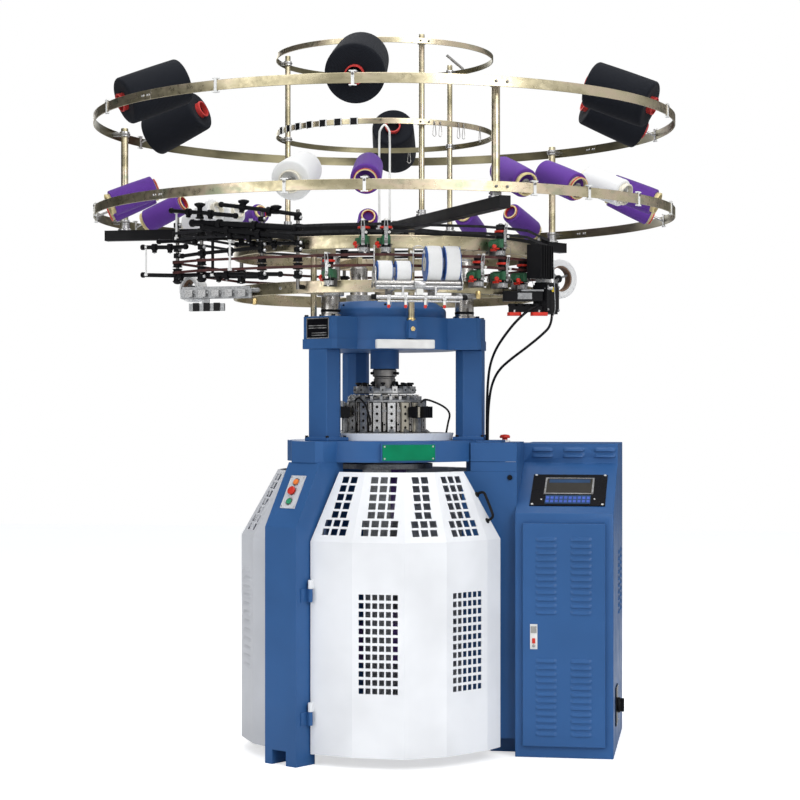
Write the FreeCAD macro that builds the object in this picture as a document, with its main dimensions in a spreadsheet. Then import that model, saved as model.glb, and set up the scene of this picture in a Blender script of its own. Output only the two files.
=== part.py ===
"""Circular knitting machine with its overhead yarn creel, control cabinet and guard doors.

Millimetres. +Z is up, z = 0 is the floor and the Z axis is the axis of the needle cylinder.
+X points from the machine to its control cabinet. The operator stands on the -Y side.
Every driving dimension is a named cell of the sheet "Sizes".
"""
import FreeCAD, Part
import math
import os
import Sketcher
from types import SimpleNamespace
from FreeCAD import Placement, Rotation, Vector

doc = FreeCAD.newDocument("knitting_machine")
sheet = doc.addObject("Spreadsheet::Sheet", "Sizes")
Z_AXIS = Vector(0, 0, 1)
ORIGIN = Vector(0, 0, 0)

# ---------------------------------------------------------------- driving dimensions
SIZES = {
    # legs and table
    "leg_turn": (-1.0, "angle of the cabinet-side leg; the others stand 120 degrees apart"),
    "leg_width": (160.0, "tangential width of a leg"),
    "leg_depth": (105.0, "radial depth of a leg"),
    "leg_reach": (605.0, "radius of the outer face of the two free legs"),
    "cabinet_leg_reach": (541.0, "radius of the outer face of the leg beside the cabinet"),
    "leg_bend": (895.0, "height where the legs start to lean inwards"),
    "leg_top_reach": (473.0, "radius of the leg's outer face under the table"),
    "table_low": (1137.0, "underside of the table casting"),
    "table_high": (1218.0, "top of the table casting"),
    "table_radius": (388.0, "radius of the table's rim"),
    "table_bore": (152.0, "radius of the hole that the cylinder turns in"),
    "lobe_reach": (478.0, "radius of the outer end of a table lobe"),
    "tray_radius": (276.0, "upper radius of the white lint tray"),
    "tray_rise": (27.0, "height of the lint tray"),
    # columns and crown
    "column_face": (398.0, "radius of a column's outer face"),
    "column_width": (94.0, "width of a column's outer face"),
    "crown_low": (1573.0, "underside of the crown"),
    "crown_joint": (1611.0, "parting line of the crown's two castings"),
    "crown_high": (1698.0, "top of the crown"),
    "crown_radius": (280.0, "radius of the crown between its lobes"),
    "crown_lobe_reach": (396.0, "radius of a crown lobe's outer face"),
    "crown_lobe_width": (174.0, "width of a crown lobe"),
    "dome_radius": (246.0, "radius of the gear cover on the crown"),
    "dome_high": (1763.0, "top of the gear cover"),
    # creel
    "outer_ring": (1152.0, "outer radius of the two large creel rings"),
    "inner_ring": (434.0, "outer radius of the two small creel rings"),
    "ring_band": (4.0, "thickness of the flat bar the rings are rolled from"),
    "outer_band_width": (36.0, "height of the large rings' flat bar"),
    "inner_band_width": (21.0, "height of the small rings' flat bar"),
    "outer_low_z": (2110.0, "middle height of the lower large ring"),
    "outer_high_z": (2473.0, "middle height of the upper large ring"),
    "inner_low_z": (2431.0, "middle height of the lower small ring"),
    "inner_high_z": (2738.0, "middle height of the upper small ring"),
    "arm_z": (2055.0, "middle height of the three creel arms"),
    "arm_square": (42.0, "side of the square tube of the creel arms"),
    "arm_reach": (1180.0, "radius of the end of a creel arm"),
    "outer_post_top": (2497.0, "top of the outer creel posts"),
    "inner_post_top": (2768.0, "top of the inner creel posts"),
    # yarn feeders
    "feeder_ring": (600.0, "outer radius of the two feeder rings"),
    "feeder_band": (10.0, "thickness of the feeder rings"),
    "feeder_circle": (650.0, "radius on which the feeder spindles stand"),
    "upper_disc_z": (2007.0, "height of the clutch discs of the upper feeders"),
    "lower_disc_z": (1887.0, "height of the clutch discs of the lower feeders"),
    "belt_circle": (682.0, "radius of the corners of the drive belts"),
    # knitting head
    "needle_circle": (120.0, "outer radius of the needle cylinder"),
    "cylinder_top": (1384.0, "top of the needle cylinder"),
    "cam_reach": (165.0, "radius of the outer faces of the cam boxes"),
    "cam_low": (1250.0, "underside of the cam boxes"),
    "cam_high": (1368.0, "top of the cam boxes"),
    # guard doors
    "door_sheet": (3.0, "thickness of the guard doors' sheet metal"),
    "door_low": (42.0, "lower edge of the guard doors"),
    "door_bend": (843.0, "height where the guard doors lean inwards"),
    "door_high": (1101.0, "upper edge of the guard doors"),
    "window": (28.0, "side of a square window in the leaning panels"),
    "window_pitch": (36.5, "distance between the windows' middles"),
    # cabinet
    "cabinet_left": (543.0, "machine side of the cabinet"),
    "cabinet_right": (921.0, "free side of the cabinet"),
    "cabinet_front": (-200.0, "front face of the cabinet"),
    "cabinet_back": (560.0, "back face of the cabinet"),
    "console_low": (940.0, "front edge of the sloping console"),
    "console_high": (1124.0, "rear edge of the sloping console"),
    "band_front": (150.0, "front face of the raised band behind the console"),
    "band_high": (1202.0, "top of the cabinet"),
    # take-down
    "takedown_half": (182.0, "distance of the take-down side plates from the axis"),
    "takedown_top": (1105.0, "top of the take-down side plates"),
    "takedown_low": (150.0, "lower end of the take-down side plates"),
    "pull_roller": (22.0, "radius of the take-down rollers"),
    "pull_roller_z": (800.0, "height of the take-down rollers"),
    "cloth_roll": (105.0, "radius of the wound fabric"),
    "cloth_roll_z": (420.0, "height of the wound fabric's axis"),
    # elastic-yarn unit
    "unit_circle": (750.0, "radius of the elastic-yarn unit's middle"),
    "unit_width": (316.0, "width of the elastic-yarn unit"),
    "unit_roller": (10.0, "radius of its two drive rollers"),
    "unit_roller_z": (1796.0, "height of its drive rollers"),
    "small_bobbin": (40.0, "radius of the two small bobbins"),
    "large_bobbin": (66.0, "radius of the two large bobbins"),
}


class Dim:
    """A size: its number, and the sheet expression that a feature's property is bound to."""

    def __init__(self, value, text=None):
        self.value = float(value)
        self.text = text or repr(float(value))

    def _with(self, other, sign, value):
        other = other if isinstance(other, Dim) else Dim(other)
        return Dim(value(self.value, other.value), "(%s %s %s)" % (self.text, sign, other.text))

    def __add__(self, other):
        return self._with(other, "+", lambda a, b: a + b)

    def __sub__(self, other):
        return self._with(other, "-", lambda a, b: a - b)

    def __mul__(self, other):
        return self._with(other, "*", lambda a, b: a * b)

    def __truediv__(self, other):
        return self._with(other, "/", lambda a, b: a / b)

    def __neg__(self):
        return Dim(0) - self

    def __float__(self):
        return self.value


def fill_sheet():
    """Write every driving dimension into the sheet: its meaning, its number and its alias."""
    for row, (alias, (number, meaning)) in enumerate(SIZES.items(), start=1):
        sheet.set("A%d" % row, meaning)
        sheet.set("B%d" % row, str(number))
        sheet.setAlias("B%d" % row, alias)
    doc.recompute()
    return SimpleNamespace(**{alias: Dim(sheet.get(alias), "Sizes." + alias) for alias in SIZES})


S = fill_sheet()
# plain numbers of the same cells, for the pieces that are worked out by formula
N = SimpleNamespace(**{alias: float(getattr(S, alias)) for alias in SIZES})

LEG_ANGLES = [N.leg_turn + turn for turn in (0, 120, 240)]
ARM_ANGLES = (-60.0, 57.2, 176.4)
CABINET_LEG, REAR_LEG, LEFT_LEG = LEG_ANGLES
NODES = []


# ---------------------------------------------------------------- helpers
def node(feature, label):
    """Register a finished document object as a sub-part under its own label."""
    feature.Label = label
    NODES.append(feature)
    return feature


def bind(feature, **sizes):
    """Bind properties of a feature to the sheet."""
    for name, size in sizes.items():
        path = name.replace("__", ".")
        if isinstance(size, Dim):
            feature.setExpression(path, size.text)
        else:
            setattr(feature, name, size)


def origin_plane(body, role):
    return next(item for item in body.Origin.OriginFeatures if item.Role == role)


def new_body(label):
    return doc.addObject("PartDesign::Body", label + "_body")


def sketch_outline(body, role, points, lift=0.0):
    """A closed outline on an origin plane. Every corner is held by two bound dimensions."""
    sketch = body.newObject("Sketcher::SketchObject", body.Name + "_outline")
    sketch.AttachmentSupport = [(origin_plane(body, role), "")]
    sketch.MapMode = "FlatFace"
    if isinstance(lift, Dim):
        sketch.setExpression("AttachmentOffset.Base.z", lift.text)
    else:
        sketch.AttachmentOffset = Placement(Vector(0, 0, lift), Rotation())
    corners = [Vector(float(x), float(y), 0) for x, y in points]
    count = len(corners)
    for index in range(count):
        sketch.addGeometry(Part.LineSegment(corners[index], corners[(index + 1) % count]), False)
    for index in range(count):
        sketch.addConstraint(Sketcher.Constraint("Coincident", index, 2, (index + 1) % count, 1))
    for index, corner in enumerate(points):
        for kind, axis, size in (("DistanceX", -2, corner[0]), ("DistanceY", -1, corner[1])):
            if float(size) == 0.0:
                sketch.addConstraint(Sketcher.Constraint("PointOnObject", index, 1, axis))
                continue
            place = sketch.addConstraint(Sketcher.Constraint(kind, -1, 1, index, 1, float(size)))
            if isinstance(size, Dim):
                sketch.setExpression("Constraints[%d]" % place, size.text)
    return sketch


def pad(body, sketch, length, midplane=False, down=False):
    feature = body.newObject("PartDesign::Pad", body.Name + "_pad")
    feature.Profile = sketch
    feature.Midplane = midplane
    feature.Reversed = down
    bind(feature, Length=length)
    sketch.Visibility = False
    return feature


def pocket(body, sketch, length, midplane=True):
    feature = body.newObject("PartDesign::Pocket", body.Name + "_pocket")
    feature.Profile = sketch
    feature.Midplane = midplane
    bind(feature, Length=length)
    return feature


def revolve(body, sketch):
    feature = body.newObject("PartDesign::Revolution", body.Name + "_revolution")
    feature.Profile = sketch
    feature.ReferenceAxis = (sketch, ["V_Axis"])
    feature.Angle = 360.0
    return feature


def three_times(body, feature):
    """Repeat a feature of the body at 120 degrees about the machine's axis."""
    pattern = body.newObject("PartDesign::PolarPattern", body.Name + "_pattern")
    pattern.Originals = [feature]
    pattern.Axis = (origin_plane(body, "Z_Axis"), [""])
    pattern.Angle = 360.0
    pattern.Occurrences = 3
    body.Tip = pattern
    return pattern


def group(label, shapes):
    """One sub-part made of several separate solids."""
    feature = doc.addObject("Part::Feature", label + "_group")
    feature.Shape = shapes[0] if len(shapes) == 1 else Part.makeCompound(shapes)
    return node(feature, label)


def fused(shapes):
    return shapes[0].multiFuse(shapes[1:]).removeSplitter() if len(shapes) > 1 else shapes[0]


def polar(radius, degrees, z=0.0):
    angle = math.radians(degrees)
    return Vector(radius * math.cos(angle), radius * math.sin(angle), z)


def radial(degrees):
    """A frame whose X runs outwards at this angle, with Z up."""
    return Placement(ORIGIN, Rotation(Z_AXIS, degrees))


def front(x, y, z=0.0):
    """A point given across and away as the operator sees it, who faces 9 degrees off the Y axis."""
    return Placement(ORIGIN, Rotation(Z_AXIS, 9)).multVec(Vector(x, y, z))


def placed(shape, placement):
    shape = shape.copy()
    shape.Placement = placement.multiply(shape.Placement)
    return shape


def block(x0, x1, y0, y1, z0, z1):
    return Part.makeBox(x1 - x0, y1 - y0, z1 - z0, Vector(x0, y0, z0))


def regular(sides, radius, height, z=0.0, at=ORIGIN):
    """A prism on a regular polygon whose corners lie on the given radius."""
    corners = [at + polar(radius, 360.0 * (index + 0.5) / sides, z) for index in range(sides)]
    return Part.Face(Part.makePolygon(corners + corners[:1])).extrude(Vector(0, 0, height))


def ring_prism(sides, outer, inner, z, height):
    return regular(sides, outer, height, z).cut(regular(sides, inner, height + 2, z - 1))


def prism(points, direction):
    """A prism on any flat outline of points."""
    return Part.Face(Part.makePolygon(list(points) + [points[0]])).extrude(direction)


def skin(rows, closed=False):
    """A solid from rows of corners: flat facets between rows, and an end face on the first and last."""
    count = len(rows[0])
    pairs = list(zip(rows[:-1], rows[1:])) + ([(rows[-1], rows[0])] if closed else [])
    faces = []
    for low, high in pairs:
        for index in range(count):
            after = (index + 1) % count
            a, b, c, d = low[index], low[after], high[after], high[index]
            flat = abs((b - a).cross(c - a).dot(d - a)) < 1e-3
            for corners in [(a, b, c, d)] if flat else [(a, b, c), (a, c, d)]:
                faces.append(Part.Face(Part.makePolygon(corners + corners[:1])))
    if not closed:
        faces += [Part.Face(Part.makePolygon(row + row[:1])) for row in (rows[0], rows[-1])]
    solid = Part.Solid(Part.Shell(faces))
    if solid.Volume < 0:
        solid.reverse()
    return solid


def turned(section, sides, closed=False):
    """A facetted turned piece: the section's points are radius and height."""
    rows = []
    for radius, z in section:
        rows.append([polar(radius, 360.0 * (index + 0.5) / sides, z) for index in range(sides)])
    return skin(rows, closed)


def rod(start, end, radius, sides=6):
    """A straight bar with a regular section between two points."""
    along = end - start
    bar = regular(sides, radius, along.Length)
    bar.Placement = Placement(start, Rotation(Z_AXIS, along))
    return bar


# ---------------------------------------------------------------- legs and table
def leg(label, angle, reach, mount_pockets, brackets):
    """A cast leg: upright below, leaning in to the table above, with a toe notch at the floor."""
    body = new_body(label)
    inner = reach - S.leg_depth
    lean_start = S.leg_bend + (S.leg_reach - reach) * 1.83
    side = [
        (inner, Dim(0)),
        (reach, Dim(0)),
        (reach, lean_start),
        (S.leg_top_reach, S.table_low),
        (S.leg_top_reach - 133, S.table_low),
        (S.leg_top_reach - 133, S.table_low - 37),
        (inner, lean_start - 45),
    ]
    pad(body, sketch_outline(body, "XZ_Plane", side), S.leg_width, midplane=True)
    notch = [(Dim(-42), Dim(-5)), (Dim(28), Dim(-5)), (Dim(28), Dim(55)), (Dim(-42), Dim(55))]
    pocket(body, sketch_outline(body, "YZ_Plane", notch), reach * 2.2)
    doc.recompute()
    if not brackets:
        body.Placement = radial(angle)
        return node(body, label)
    shape = fused([body.Shape] + brackets)
    if mount_pockets:
        shape = shape.cut(Part.makeCompound(mount_pockets))
    feature = doc.addObject("Part::Feature", label + "_group")
    feature.Shape = shape
    feature.Placement = radial(angle)
    return node(feature, label)


LEAN = math.atan2(N.leg_reach - N.leg_top_reach, N.table_low - N.leg_bend)
BUTTON_HEIGHTS = {"jog_button": 1062.0, "stop_button": 1027.0, "start_button": 990.0}
BUTTON_BORE = 12.0


def leg_face(z, out=0.0):
    """A point on the leaning face of the operator's leg, in that leg's own radial frame."""
    radius = N.leg_reach - (z - N.leg_bend) * math.tan(LEAN)
    return Vector(radius + out * math.cos(LEAN), 0, z + out * math.sin(LEAN))


def on_leg_face(shape, z, out=0.0):
    """Stand a shape modelled along +Z on the leaning face, in the leg's radial frame."""
    place = Placement(leg_face(z, out), Rotation(Z_AXIS, Vector(math.cos(LEAN), 0, math.sin(LEAN))))
    return placed(shape, place)


HINGE_REACH, HINGE_SIDE = 545.0, 98.0
HINGE_LEVELS = ((616.0, 665.0, 699.0), (153.0, 203.0, 239.0))


def hinge_brackets():
    """Leg halves of a guard door's two hinges, in the leg's radial frame."""
    pieces = []
    half = N.leg_width / 2
    for low, joint, _ in HINGE_LEVELS:
        plate = block(520, 580, half - 1, half + 4, low, joint)
        arm = block(HINGE_REACH - 5, HINGE_REACH + 5, half + 3, HINGE_SIDE, low, joint)
        pin = regular(10, 9, joint - low, low, Vector(HINGE_REACH, HINGE_SIDE, 0))
        pieces.append(fused([plate, arm, pin]))
    return pieces


def door_knuckles(angle):
    """Door halves of the same hinges: a knuckle on a tab that reaches the sheet's edge."""
    pieces = []
    for _, joint, high in HINGE_LEVELS:
        knuckle = regular(10, 9, high - joint - 1, joint + 1, Vector(HINGE_REACH, HINGE_SIDE, 0))
        tab = prism([Vector(x, y, joint + 1) for x, y in ((526, 88), (541, 92), (541, 102), (524, 98))],
                    Vector(0, 0, high - joint - 1))
        pieces.append(placed(fused([knuckle, tab]), radial(angle)))
    return pieces


def button_pockets():
    return [on_leg_face(regular(12, BUTTON_BORE, 20, -16), z) for z in BUTTON_HEIGHTS.values()]


def make_legs():
    leg("left_leg", LEFT_LEG, S.leg_reach, button_pockets(), hinge_brackets())
    leg("rear_leg", REAR_LEG, S.leg_reach, None, hinge_brackets())
    leg("right_leg", CABINET_LEG, S.cabinet_leg_reach, None, None)


NAME_BOSS_ANGLE = -67.0


def make_table():
    """The table casting: a round rim, three lobes over the legs and a flat boss."""
    body = new_body("bed_ring")
    rim = S.table_radius
    section = [(Dim(0), S.table_low), (rim, S.table_low), (rim, S.table_high), (Dim(0), S.table_high)]
    revolve(body, sketch_outline(body, "XZ_Plane", section))
    half = S.leg_width / 2 + 2
    corner = 22.0
    lobe = [
        (rim - 70, -half),
        (S.lobe_reach - corner, -half),
        (S.lobe_reach, -half + corner),
        (S.lobe_reach, half - corner),
        (S.lobe_reach - corner, half),
        (rim - 70, half),
    ]
    sketch = sketch_outline(body, "XY_Plane", lobe, S.table_low)
    three_times(body, pad(body, sketch, S.table_high - S.table_low))
    body.Placement = radial(N.leg_turn)
    doc.recompute()
    boss = block(N.table_radius - 30, N.table_radius + 4, -108, 108, 1142, 1208)
    feature = doc.addObject("Part::Feature", "bed_ring_group")
    bore = regular(24, N.table_bore, 200, N.table_low - 50)
    feature.Shape = fused([body.Shape, placed(boss, radial(NAME_BOSS_ANGLE))]).cut(bore)
    node(feature, "bed_ring")


def make_tray():
    rim, low = N.tray_radius, N.table_high
    section = [(rim - 36, low), (rim - 14, low), (rim, low + N.tray_rise), (rim - 36, low + 6)]
    group("lint_tray", [turned(section, 30, closed=True)])


# ---------------------------------------------------------------- columns and crown
def make_columns():
    """Three columns: a wide outer face, flat sides and chamfers towards the needles."""
    body = new_body("column")
    face, half = S.column_face, S.column_width / 2
    outline = [
        (face, -half),
        (face, half),
        (face - 75, half),
        (face - 108, half / 2),
        (face - 108, -half / 2),
        (face - 75, -half),
    ]
    foot = [
        (face + 9, -half - 13),
        (face + 9, half + 13),
        (face - 115, half + 13),
        (face - 115, -half - 13),
    ]
    pad(body, sketch_outline(body, "XY_Plane", outline, S.table_high), S.crown_low - S.table_high)
    pad(body, sketch_outline(body, "XY_Plane", foot, S.table_high), Dim(14))
    doc.recompute()
    group("columns", [placed(body.Shape, radial(angle)) for angle in LEG_ANGLES])


def crown_layer(label, low, high, grow):
    """One of the crown's two castings: a round middle with three square lobes."""
    body = new_body(label)
    radius = S.crown_radius + grow
    middle = [(Dim(0), low), (radius, low), (radius, high), (Dim(0), high)]
    revolve(body, sketch_outline(body, "XZ_Plane", middle))
    half = S.crown_lobe_width / 2 + grow
    reach = S.crown_lobe_reach + grow
    corner = 14.0
    lobe = [
        (radius - 90, -half),
        (reach - corner, -half),
        (reach, -half + corner),
        (reach, half - corner),
        (reach - corner, half),
        (radius - 90, half),
    ]
    three_times(body, pad(body, sketch_outline(body, "XY_Plane", lobe, low), high - low))
    body.Placement = radial(N.leg_turn)
    doc.recompute()
    return body.Shape


CREEL_SUPPORT = 293.5
BOSS_TOP = 1685.0


def make_crown():
    base = crown_layer("crown_base", S.crown_low, S.crown_joint, Dim(3))
    top = crown_layer("crown_top", S.crown_joint, S.crown_high, Dim(0))
    boss = block(N.crown_radius - 20, CREEL_SUPPORT + 16, -16, 16, N.crown_joint + 4, BOSS_TOP)
    bosses = [placed(boss, radial(angle)) for angle in ARM_ANGLES]
    group("crown", [fused([base, top] + bosses)])
    low, high, radius = N.crown_high, N.dome_high, N.dome_radius
    group("gear_cover", [turned([(radius, low), (radius, high - 28), (radius - 40, high)], 32)])


def make_plates():
    """Blank plates: name plate on the table, data plate on the crown, display panel on the console."""
    name = block(N.table_radius + 4, N.table_radius + 7, -103, 103, 1145, 1205)
    data = block(N.crown_lobe_reach, N.crown_lobe_reach + 2, -58, 58, 1612, 1692)
    slope = math.atan2(N.console_high - N.console_low, N.band_front - N.cabinet_front)
    foot = Vector(753.0, -163.0, N.console_low + (-163.0 - N.cabinet_front) * math.tan(slope))
    panel = block(-146, 146, 0, 292, 0, 4)
    panel = placed(panel, Placement(foot, Rotation(Vector(1, 0, 0), math.degrees(slope))))
    plates = [placed(name, radial(NAME_BOSS_ANGLE)), placed(data, radial(LEFT_LEG)), panel]
    group("blank_plates", plates)
    lamp = block(N.crown_radius + 3, N.crown_radius + 28, -117, 117, 1574, 1609)
    group("lamp_bar", [placed(lamp, radial(-65))])


# ---------------------------------------------------------------- knitting head
CAM_COUNT = 12


def make_cams():
    """The fixed cam boxes round the needle cylinder, on their flared base, with selector boxes."""
    inner = N.needle_circle + 8
    step = 360.0 / CAM_COUNT
    half_in = inner * math.tan(math.radians(step / 2)) - 1.5
    half_out = N.cam_reach * math.tan(math.radians(step / 2)) - 3.0
    corners = [(inner, -half_in), (N.cam_reach, -half_out), (N.cam_reach, half_out), (inner, half_in)]
    wedge = prism([Vector(x, y, N.cam_low) for x, y in corners], Vector(0, 0, N.cam_high - N.cam_low))
    boxes = [placed(wedge, radial(step * index)) for index in range(CAM_COUNT)]
    base = ring_prism(24, 225, N.needle_circle + 8, N.table_high, N.cam_low - N.table_high)
    selector = block(N.cam_reach - 4, N.cam_reach + 58, -30, 30, 1305, 1352)
    arm = block(N.cam_reach - 4, N.cam_reach + 20, -9, 9, N.cam_low, 1305)
    boxes += [placed(fused([selector, arm]), radial(angle)) for angle in (-150, -30, 90)]
    group("cam_boxes", [fused([base] + boxes)])


def make_dial_housing():
    """The fixed sleeve that hangs from the crown and carries the dial cams."""
    sleeve = regular(16, 57.5, N.crown_low - 1501, 1501)
    quill = regular(16, 44, 1501 - 1424, 1424)
    cams = regular(12, 127, 22, 1402)
    knobs = [regular(6, 9, 23, 1424, polar(100, angle)) for angle in range(15, 360, 60)]
    bore = regular(12, 16, 200, 1390)
    group("dial_housing", [fused([sleeve, quill, cams] + knobs).cut(bore)])


def make_rotor():
    """What turns with the cylinder: needles' cylinder, dial and the take-down frame below."""
    radius = N.needle_circle
    cylinder = ring_prism(36, radius, radius - 13, N.takedown_top + 20, N.cylinder_top - N.takedown_top - 20)
    group("needle_cylinder", [cylinder])
    dial = fused([regular(36, radius - 2, 12, N.cylinder_top + 2), regular(12, 13, 170, 1390)])
    group("dial", [dial])


JOURNAL = 7.0
BEARING = 8.0


def axle_bores(z, x):
    half = N.takedown_half
    bar = regular(8, BEARING, 2 * half + 40, -half - 20)
    bar.Placement = Placement(Vector(x, 0, z), Rotation(Vector(1, 0, 0), -90))
    return bar


def roller(radius, sides, x, z):
    """A roller across the take-down with a journal at each end."""
    half = N.takedown_half - 6.5
    drum = regular(sides, radius, 2 * half, -half)
    shaft = regular(8, JOURNAL, 2 * half + 20, -half - 10)
    shape = fused([drum, shaft])
    shape.Placement = Placement(Vector(x, 0, z), Rotation(Vector(1, 0, 0), -90))
    return shape


NIP = N.pull_roller + 2.5


def make_takedown():
    """The rotating take-down: ring, two side plates, cross bars, pull rollers and fabric roll."""
    half, top, low = N.takedown_half, N.takedown_top, N.takedown_low
    ring = ring_prism(24, half + 10, N.needle_circle - 13, top, 20)
    plates = [block(-55, 55, side * half - 5, side * half + 5, low, top) for side in (-1, 1)]
    bars = [block(-15, 15, -half, half, low + 10, low + 40)]
    bars += [block(side * 44 - 8, side * 44 + 8, -half, half, 600, 625) for side in (-1, 1)]
    bores = [axle_bores(N.pull_roller_z, -NIP), axle_bores(N.pull_roller_z, NIP)]
    bores.append(axle_bores(N.cloth_roll_z, 0))
    frame = fused([ring] + plates + bars).cut(Part.makeCompound(bores))
    group("takedown_frame", [frame])
    group("pull_roller_front", [roller(N.pull_roller, 16, -NIP, N.pull_roller_z)])
    group("pull_roller_rear", [roller(N.pull_roller, 16, NIP, N.pull_roller_z)])
    group("fabric_roll", [roller(N.cloth_roll, 24, 0, N.cloth_roll_z)])


def make_fabric():
    """The knitted tube: round under the dial, folding down to a flat web through the rollers."""
    rows = ((1376, 96, 96, 3), (1150, 96, 96, 5), (960, 62, 125, 9), (835, 5, 150, 1.6), (820, 1.7, 152, 0.2),
            (530, 1.7, 152, 0.2))
    sections = []
    for z, across, along, fold in rows:
        corners = []
        for index in range(16):
            angle = math.radians(22.5 * index)
            wave = fold if index % 2 else 0.0
            corners.append(Vector((across - wave) * math.cos(angle), (along - wave) * math.sin(angle), z))
        sections.append(corners)
    group("fabric_tube", [skin(sections)])


# ---------------------------------------------------------------- guard doors
# corners of the front door's plan: radius and angle, from its hinge side to its handle side
DOOR_PLAN = ((538.0, -111.8), (555.5, -93.2), (589.0, -73.4), (577.0, -56.8), (550.0, -35.2), (542.0, -25.4))
# how far the top of each leaning panel stands inside its foot
DOOR_LEAN = (141.0, 141.0, 135.0, 125.0, 123.0)


def unit_normal(start, end):
    along = end - start
    return Vector(-along.y, along.x, 0).normalize()


def meet(first, second):
    """Where two plan lines cross; each is a point and an inward normal."""
    (p, n), (q, k) = first, second
    det = n.x * k.y - n.y * k.x
    a, b = n.dot(p), k.dot(q)
    return Vector((a * k.y - b * n.y) / det, (n.x * b - k.x * a) / det, 0)


def hole_face(centre, across, up, width, height):
    a, b = across * (width / 2), up * (height / 2)
    corners = [centre - a - b, centre + a - b, centre + a + b, centre - a + b]
    return Part.makePolygon(corners + corners[:1])


def sheet_panel(corners, holes, inward, thick):
    """A flat sheet-metal panel with holes through it."""
    outline = Part.makePolygon(corners + corners[:1])
    face = Part.makeFace([outline] + holes, "Part::FaceMakerBullseye") if holes else Part.Face(outline)
    return face.extrude(inward * thick)


def window_grid(foot_a, foot_b, head_a, head_b, columns):
    """Square windows in a leaning panel: five narrow rows above two wide ones."""
    holes = []
    across = (foot_b - foot_a).normalize()
    middle_foot = (foot_a + foot_b) * 0.5
    middle_head = (head_a + head_b) * 0.5
    rise = middle_head - middle_foot
    up = (rise - across * rise.dot(across)).normalize()
    height = rise.dot(up)
    first = height - 33.0
    for row in range(7):
        level = first - row * N.window_pitch
        count = columns if row < 5 else columns + 1
        centre = middle_foot + rise * (level / height)
        for column in range(count):
            offset = (column - (count - 1) / 2.0) * N.window_pitch
            holes.append(hole_face(centre + across * offset, across, up, N.window, N.window))
    return holes


WINDOW_COLUMNS = (2, 3, 2, 3, 0)


def guard_door(plan, lean, cut_first, windows):
    """A folded sheet door: upright panels below, panels leaning in to the table above."""
    thick = N.door_sheet
    plan = [polar(radius, angle) for radius, angle in plan]
    count = len(plan) - 1
    inward = [unit_normal(plan[index], plan[index + 1]) for index in range(count)]
    heads = [(plan[i] + inward[i] * lean[i], inward[i]) for i in range(count)]
    tops = [meet(heads[i], heads[i + 1]) for i in range(count - 1)]
    # the hinge-side edge of the first leaning panel is cut along the leg; the last one ends in a point
    along = (plan[1] - plan[0]).normalize()
    tops = [tops[0] - along * cut_first] + tops + [tops[-1]]
    lift = Vector(0, 0, 1)
    panels = []
    for index in range(count):
        a, b = plan[index], plan[index + 1]
        low_a, low_b = a + lift * N.door_low, b + lift * N.door_low
        bend_a, bend_b = a + lift * N.door_bend, b + lift * N.door_bend
        high_a, high_b = tops[index] + lift * N.door_high, tops[index + 1] + lift * N.door_high
        panels.append(sheet_panel([low_a, low_b, bend_b, bend_a], [], inward[index], thick))
        slope = (bend_b - bend_a).cross(high_a - bend_a).normalize()
        slope = slope if slope.dot(inward[index]) > 0 else slope * -1
        corners = [bend_a, bend_b, high_b, high_a]
        if (high_b - high_a).Length < 1:
            corners.remove(high_b)
        columns = windows[index] if windows else 0
        holes = window_grid(bend_a, bend_b, high_a, high_b, columns) if columns else []
        panels.append(sheet_panel(corners, holes, slope, thick))
    return fused(panels)


def bar_handle(low, high, out, radius=7.0):
    """A bow handle: a bar that stands off the panel on two feet."""
    along = (high - low).normalize()
    bar = rod(low + out * 34, high + out * 34, radius, 8)
    feet = [rod(end, end + out * 34, radius - 1, 6) for end in (low + along * 8, high - along * 8)]
    return fused([bar] + feet)


def make_doors():
    """Two hinged guard doors between the legs and a bolted guard on the side of the cabinet."""
    door = guard_door(DOOR_PLAN, DOOR_LEAN, 113.0, WINDOW_COLUMNS)
    group("front_door", [fused([door] + door_knuckles(LEFT_LEG))])
    rear_plan = [(538.0, 128.2), (558.0, 150.0), (570.0, 172.0),
                 (570.0, 194.0), (558.0, 213.0), (538.0, 229.8)]
    rear = guard_door(rear_plan, [141.0] * 5, 60.0, None)
    group("rear_left_door", [fused([rear] + door_knuckles(REAR_LEG))])
    side_plan = [(535.0, 22.0), (548.0, 42.0), (568.0, 60.0), (568.0, 78.0), (552.0, 94.0), (538.0, 109.8)]
    group("rear_right_guard", [guard_door(side_plan, [141.0] * 5, 60.0, None)])
    # handle on the last leaning panel of the front door, near its free edge
    outer, inner = polar(*DOOR_PLAN[5]), polar(*DOOR_PLAN[4])
    out = unit_normal(inner, outer) * -1
    foot = outer * 0.55 + inner * 0.45
    low = foot + Vector(0, 0, N.door_bend + 62) - out * 31
    high = foot + Vector(0, 0, N.door_bend + 176) - out * 84
    rise = (high - low).normalize()
    away = (out - rise * out.dot(rise)).normalize()
    group("door_handle", [bar_handle(low, high, away)])


# ---------------------------------------------------------------- cabinet
DOOR_LEAF = 17.0
CABINET_DOOR = (573.0, 891.0, 45.0, 902.0)
LOUVRE = SimpleNamespace(width=82.0, height=15.0, depth=6.0, pitch=25.5)


def louvre(x, y, z, width=LOUVRE.width):
    """A pressed louvre on a face that looks along -Y: closed above, open lip below."""
    side = [Vector(x - width / 2, y, z + LOUVRE.height), Vector(x - width / 2, y - LOUVRE.depth, z)]
    side.append(Vector(x - width / 2, y, z))
    return prism(side, Vector(width, 0, 0))


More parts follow.
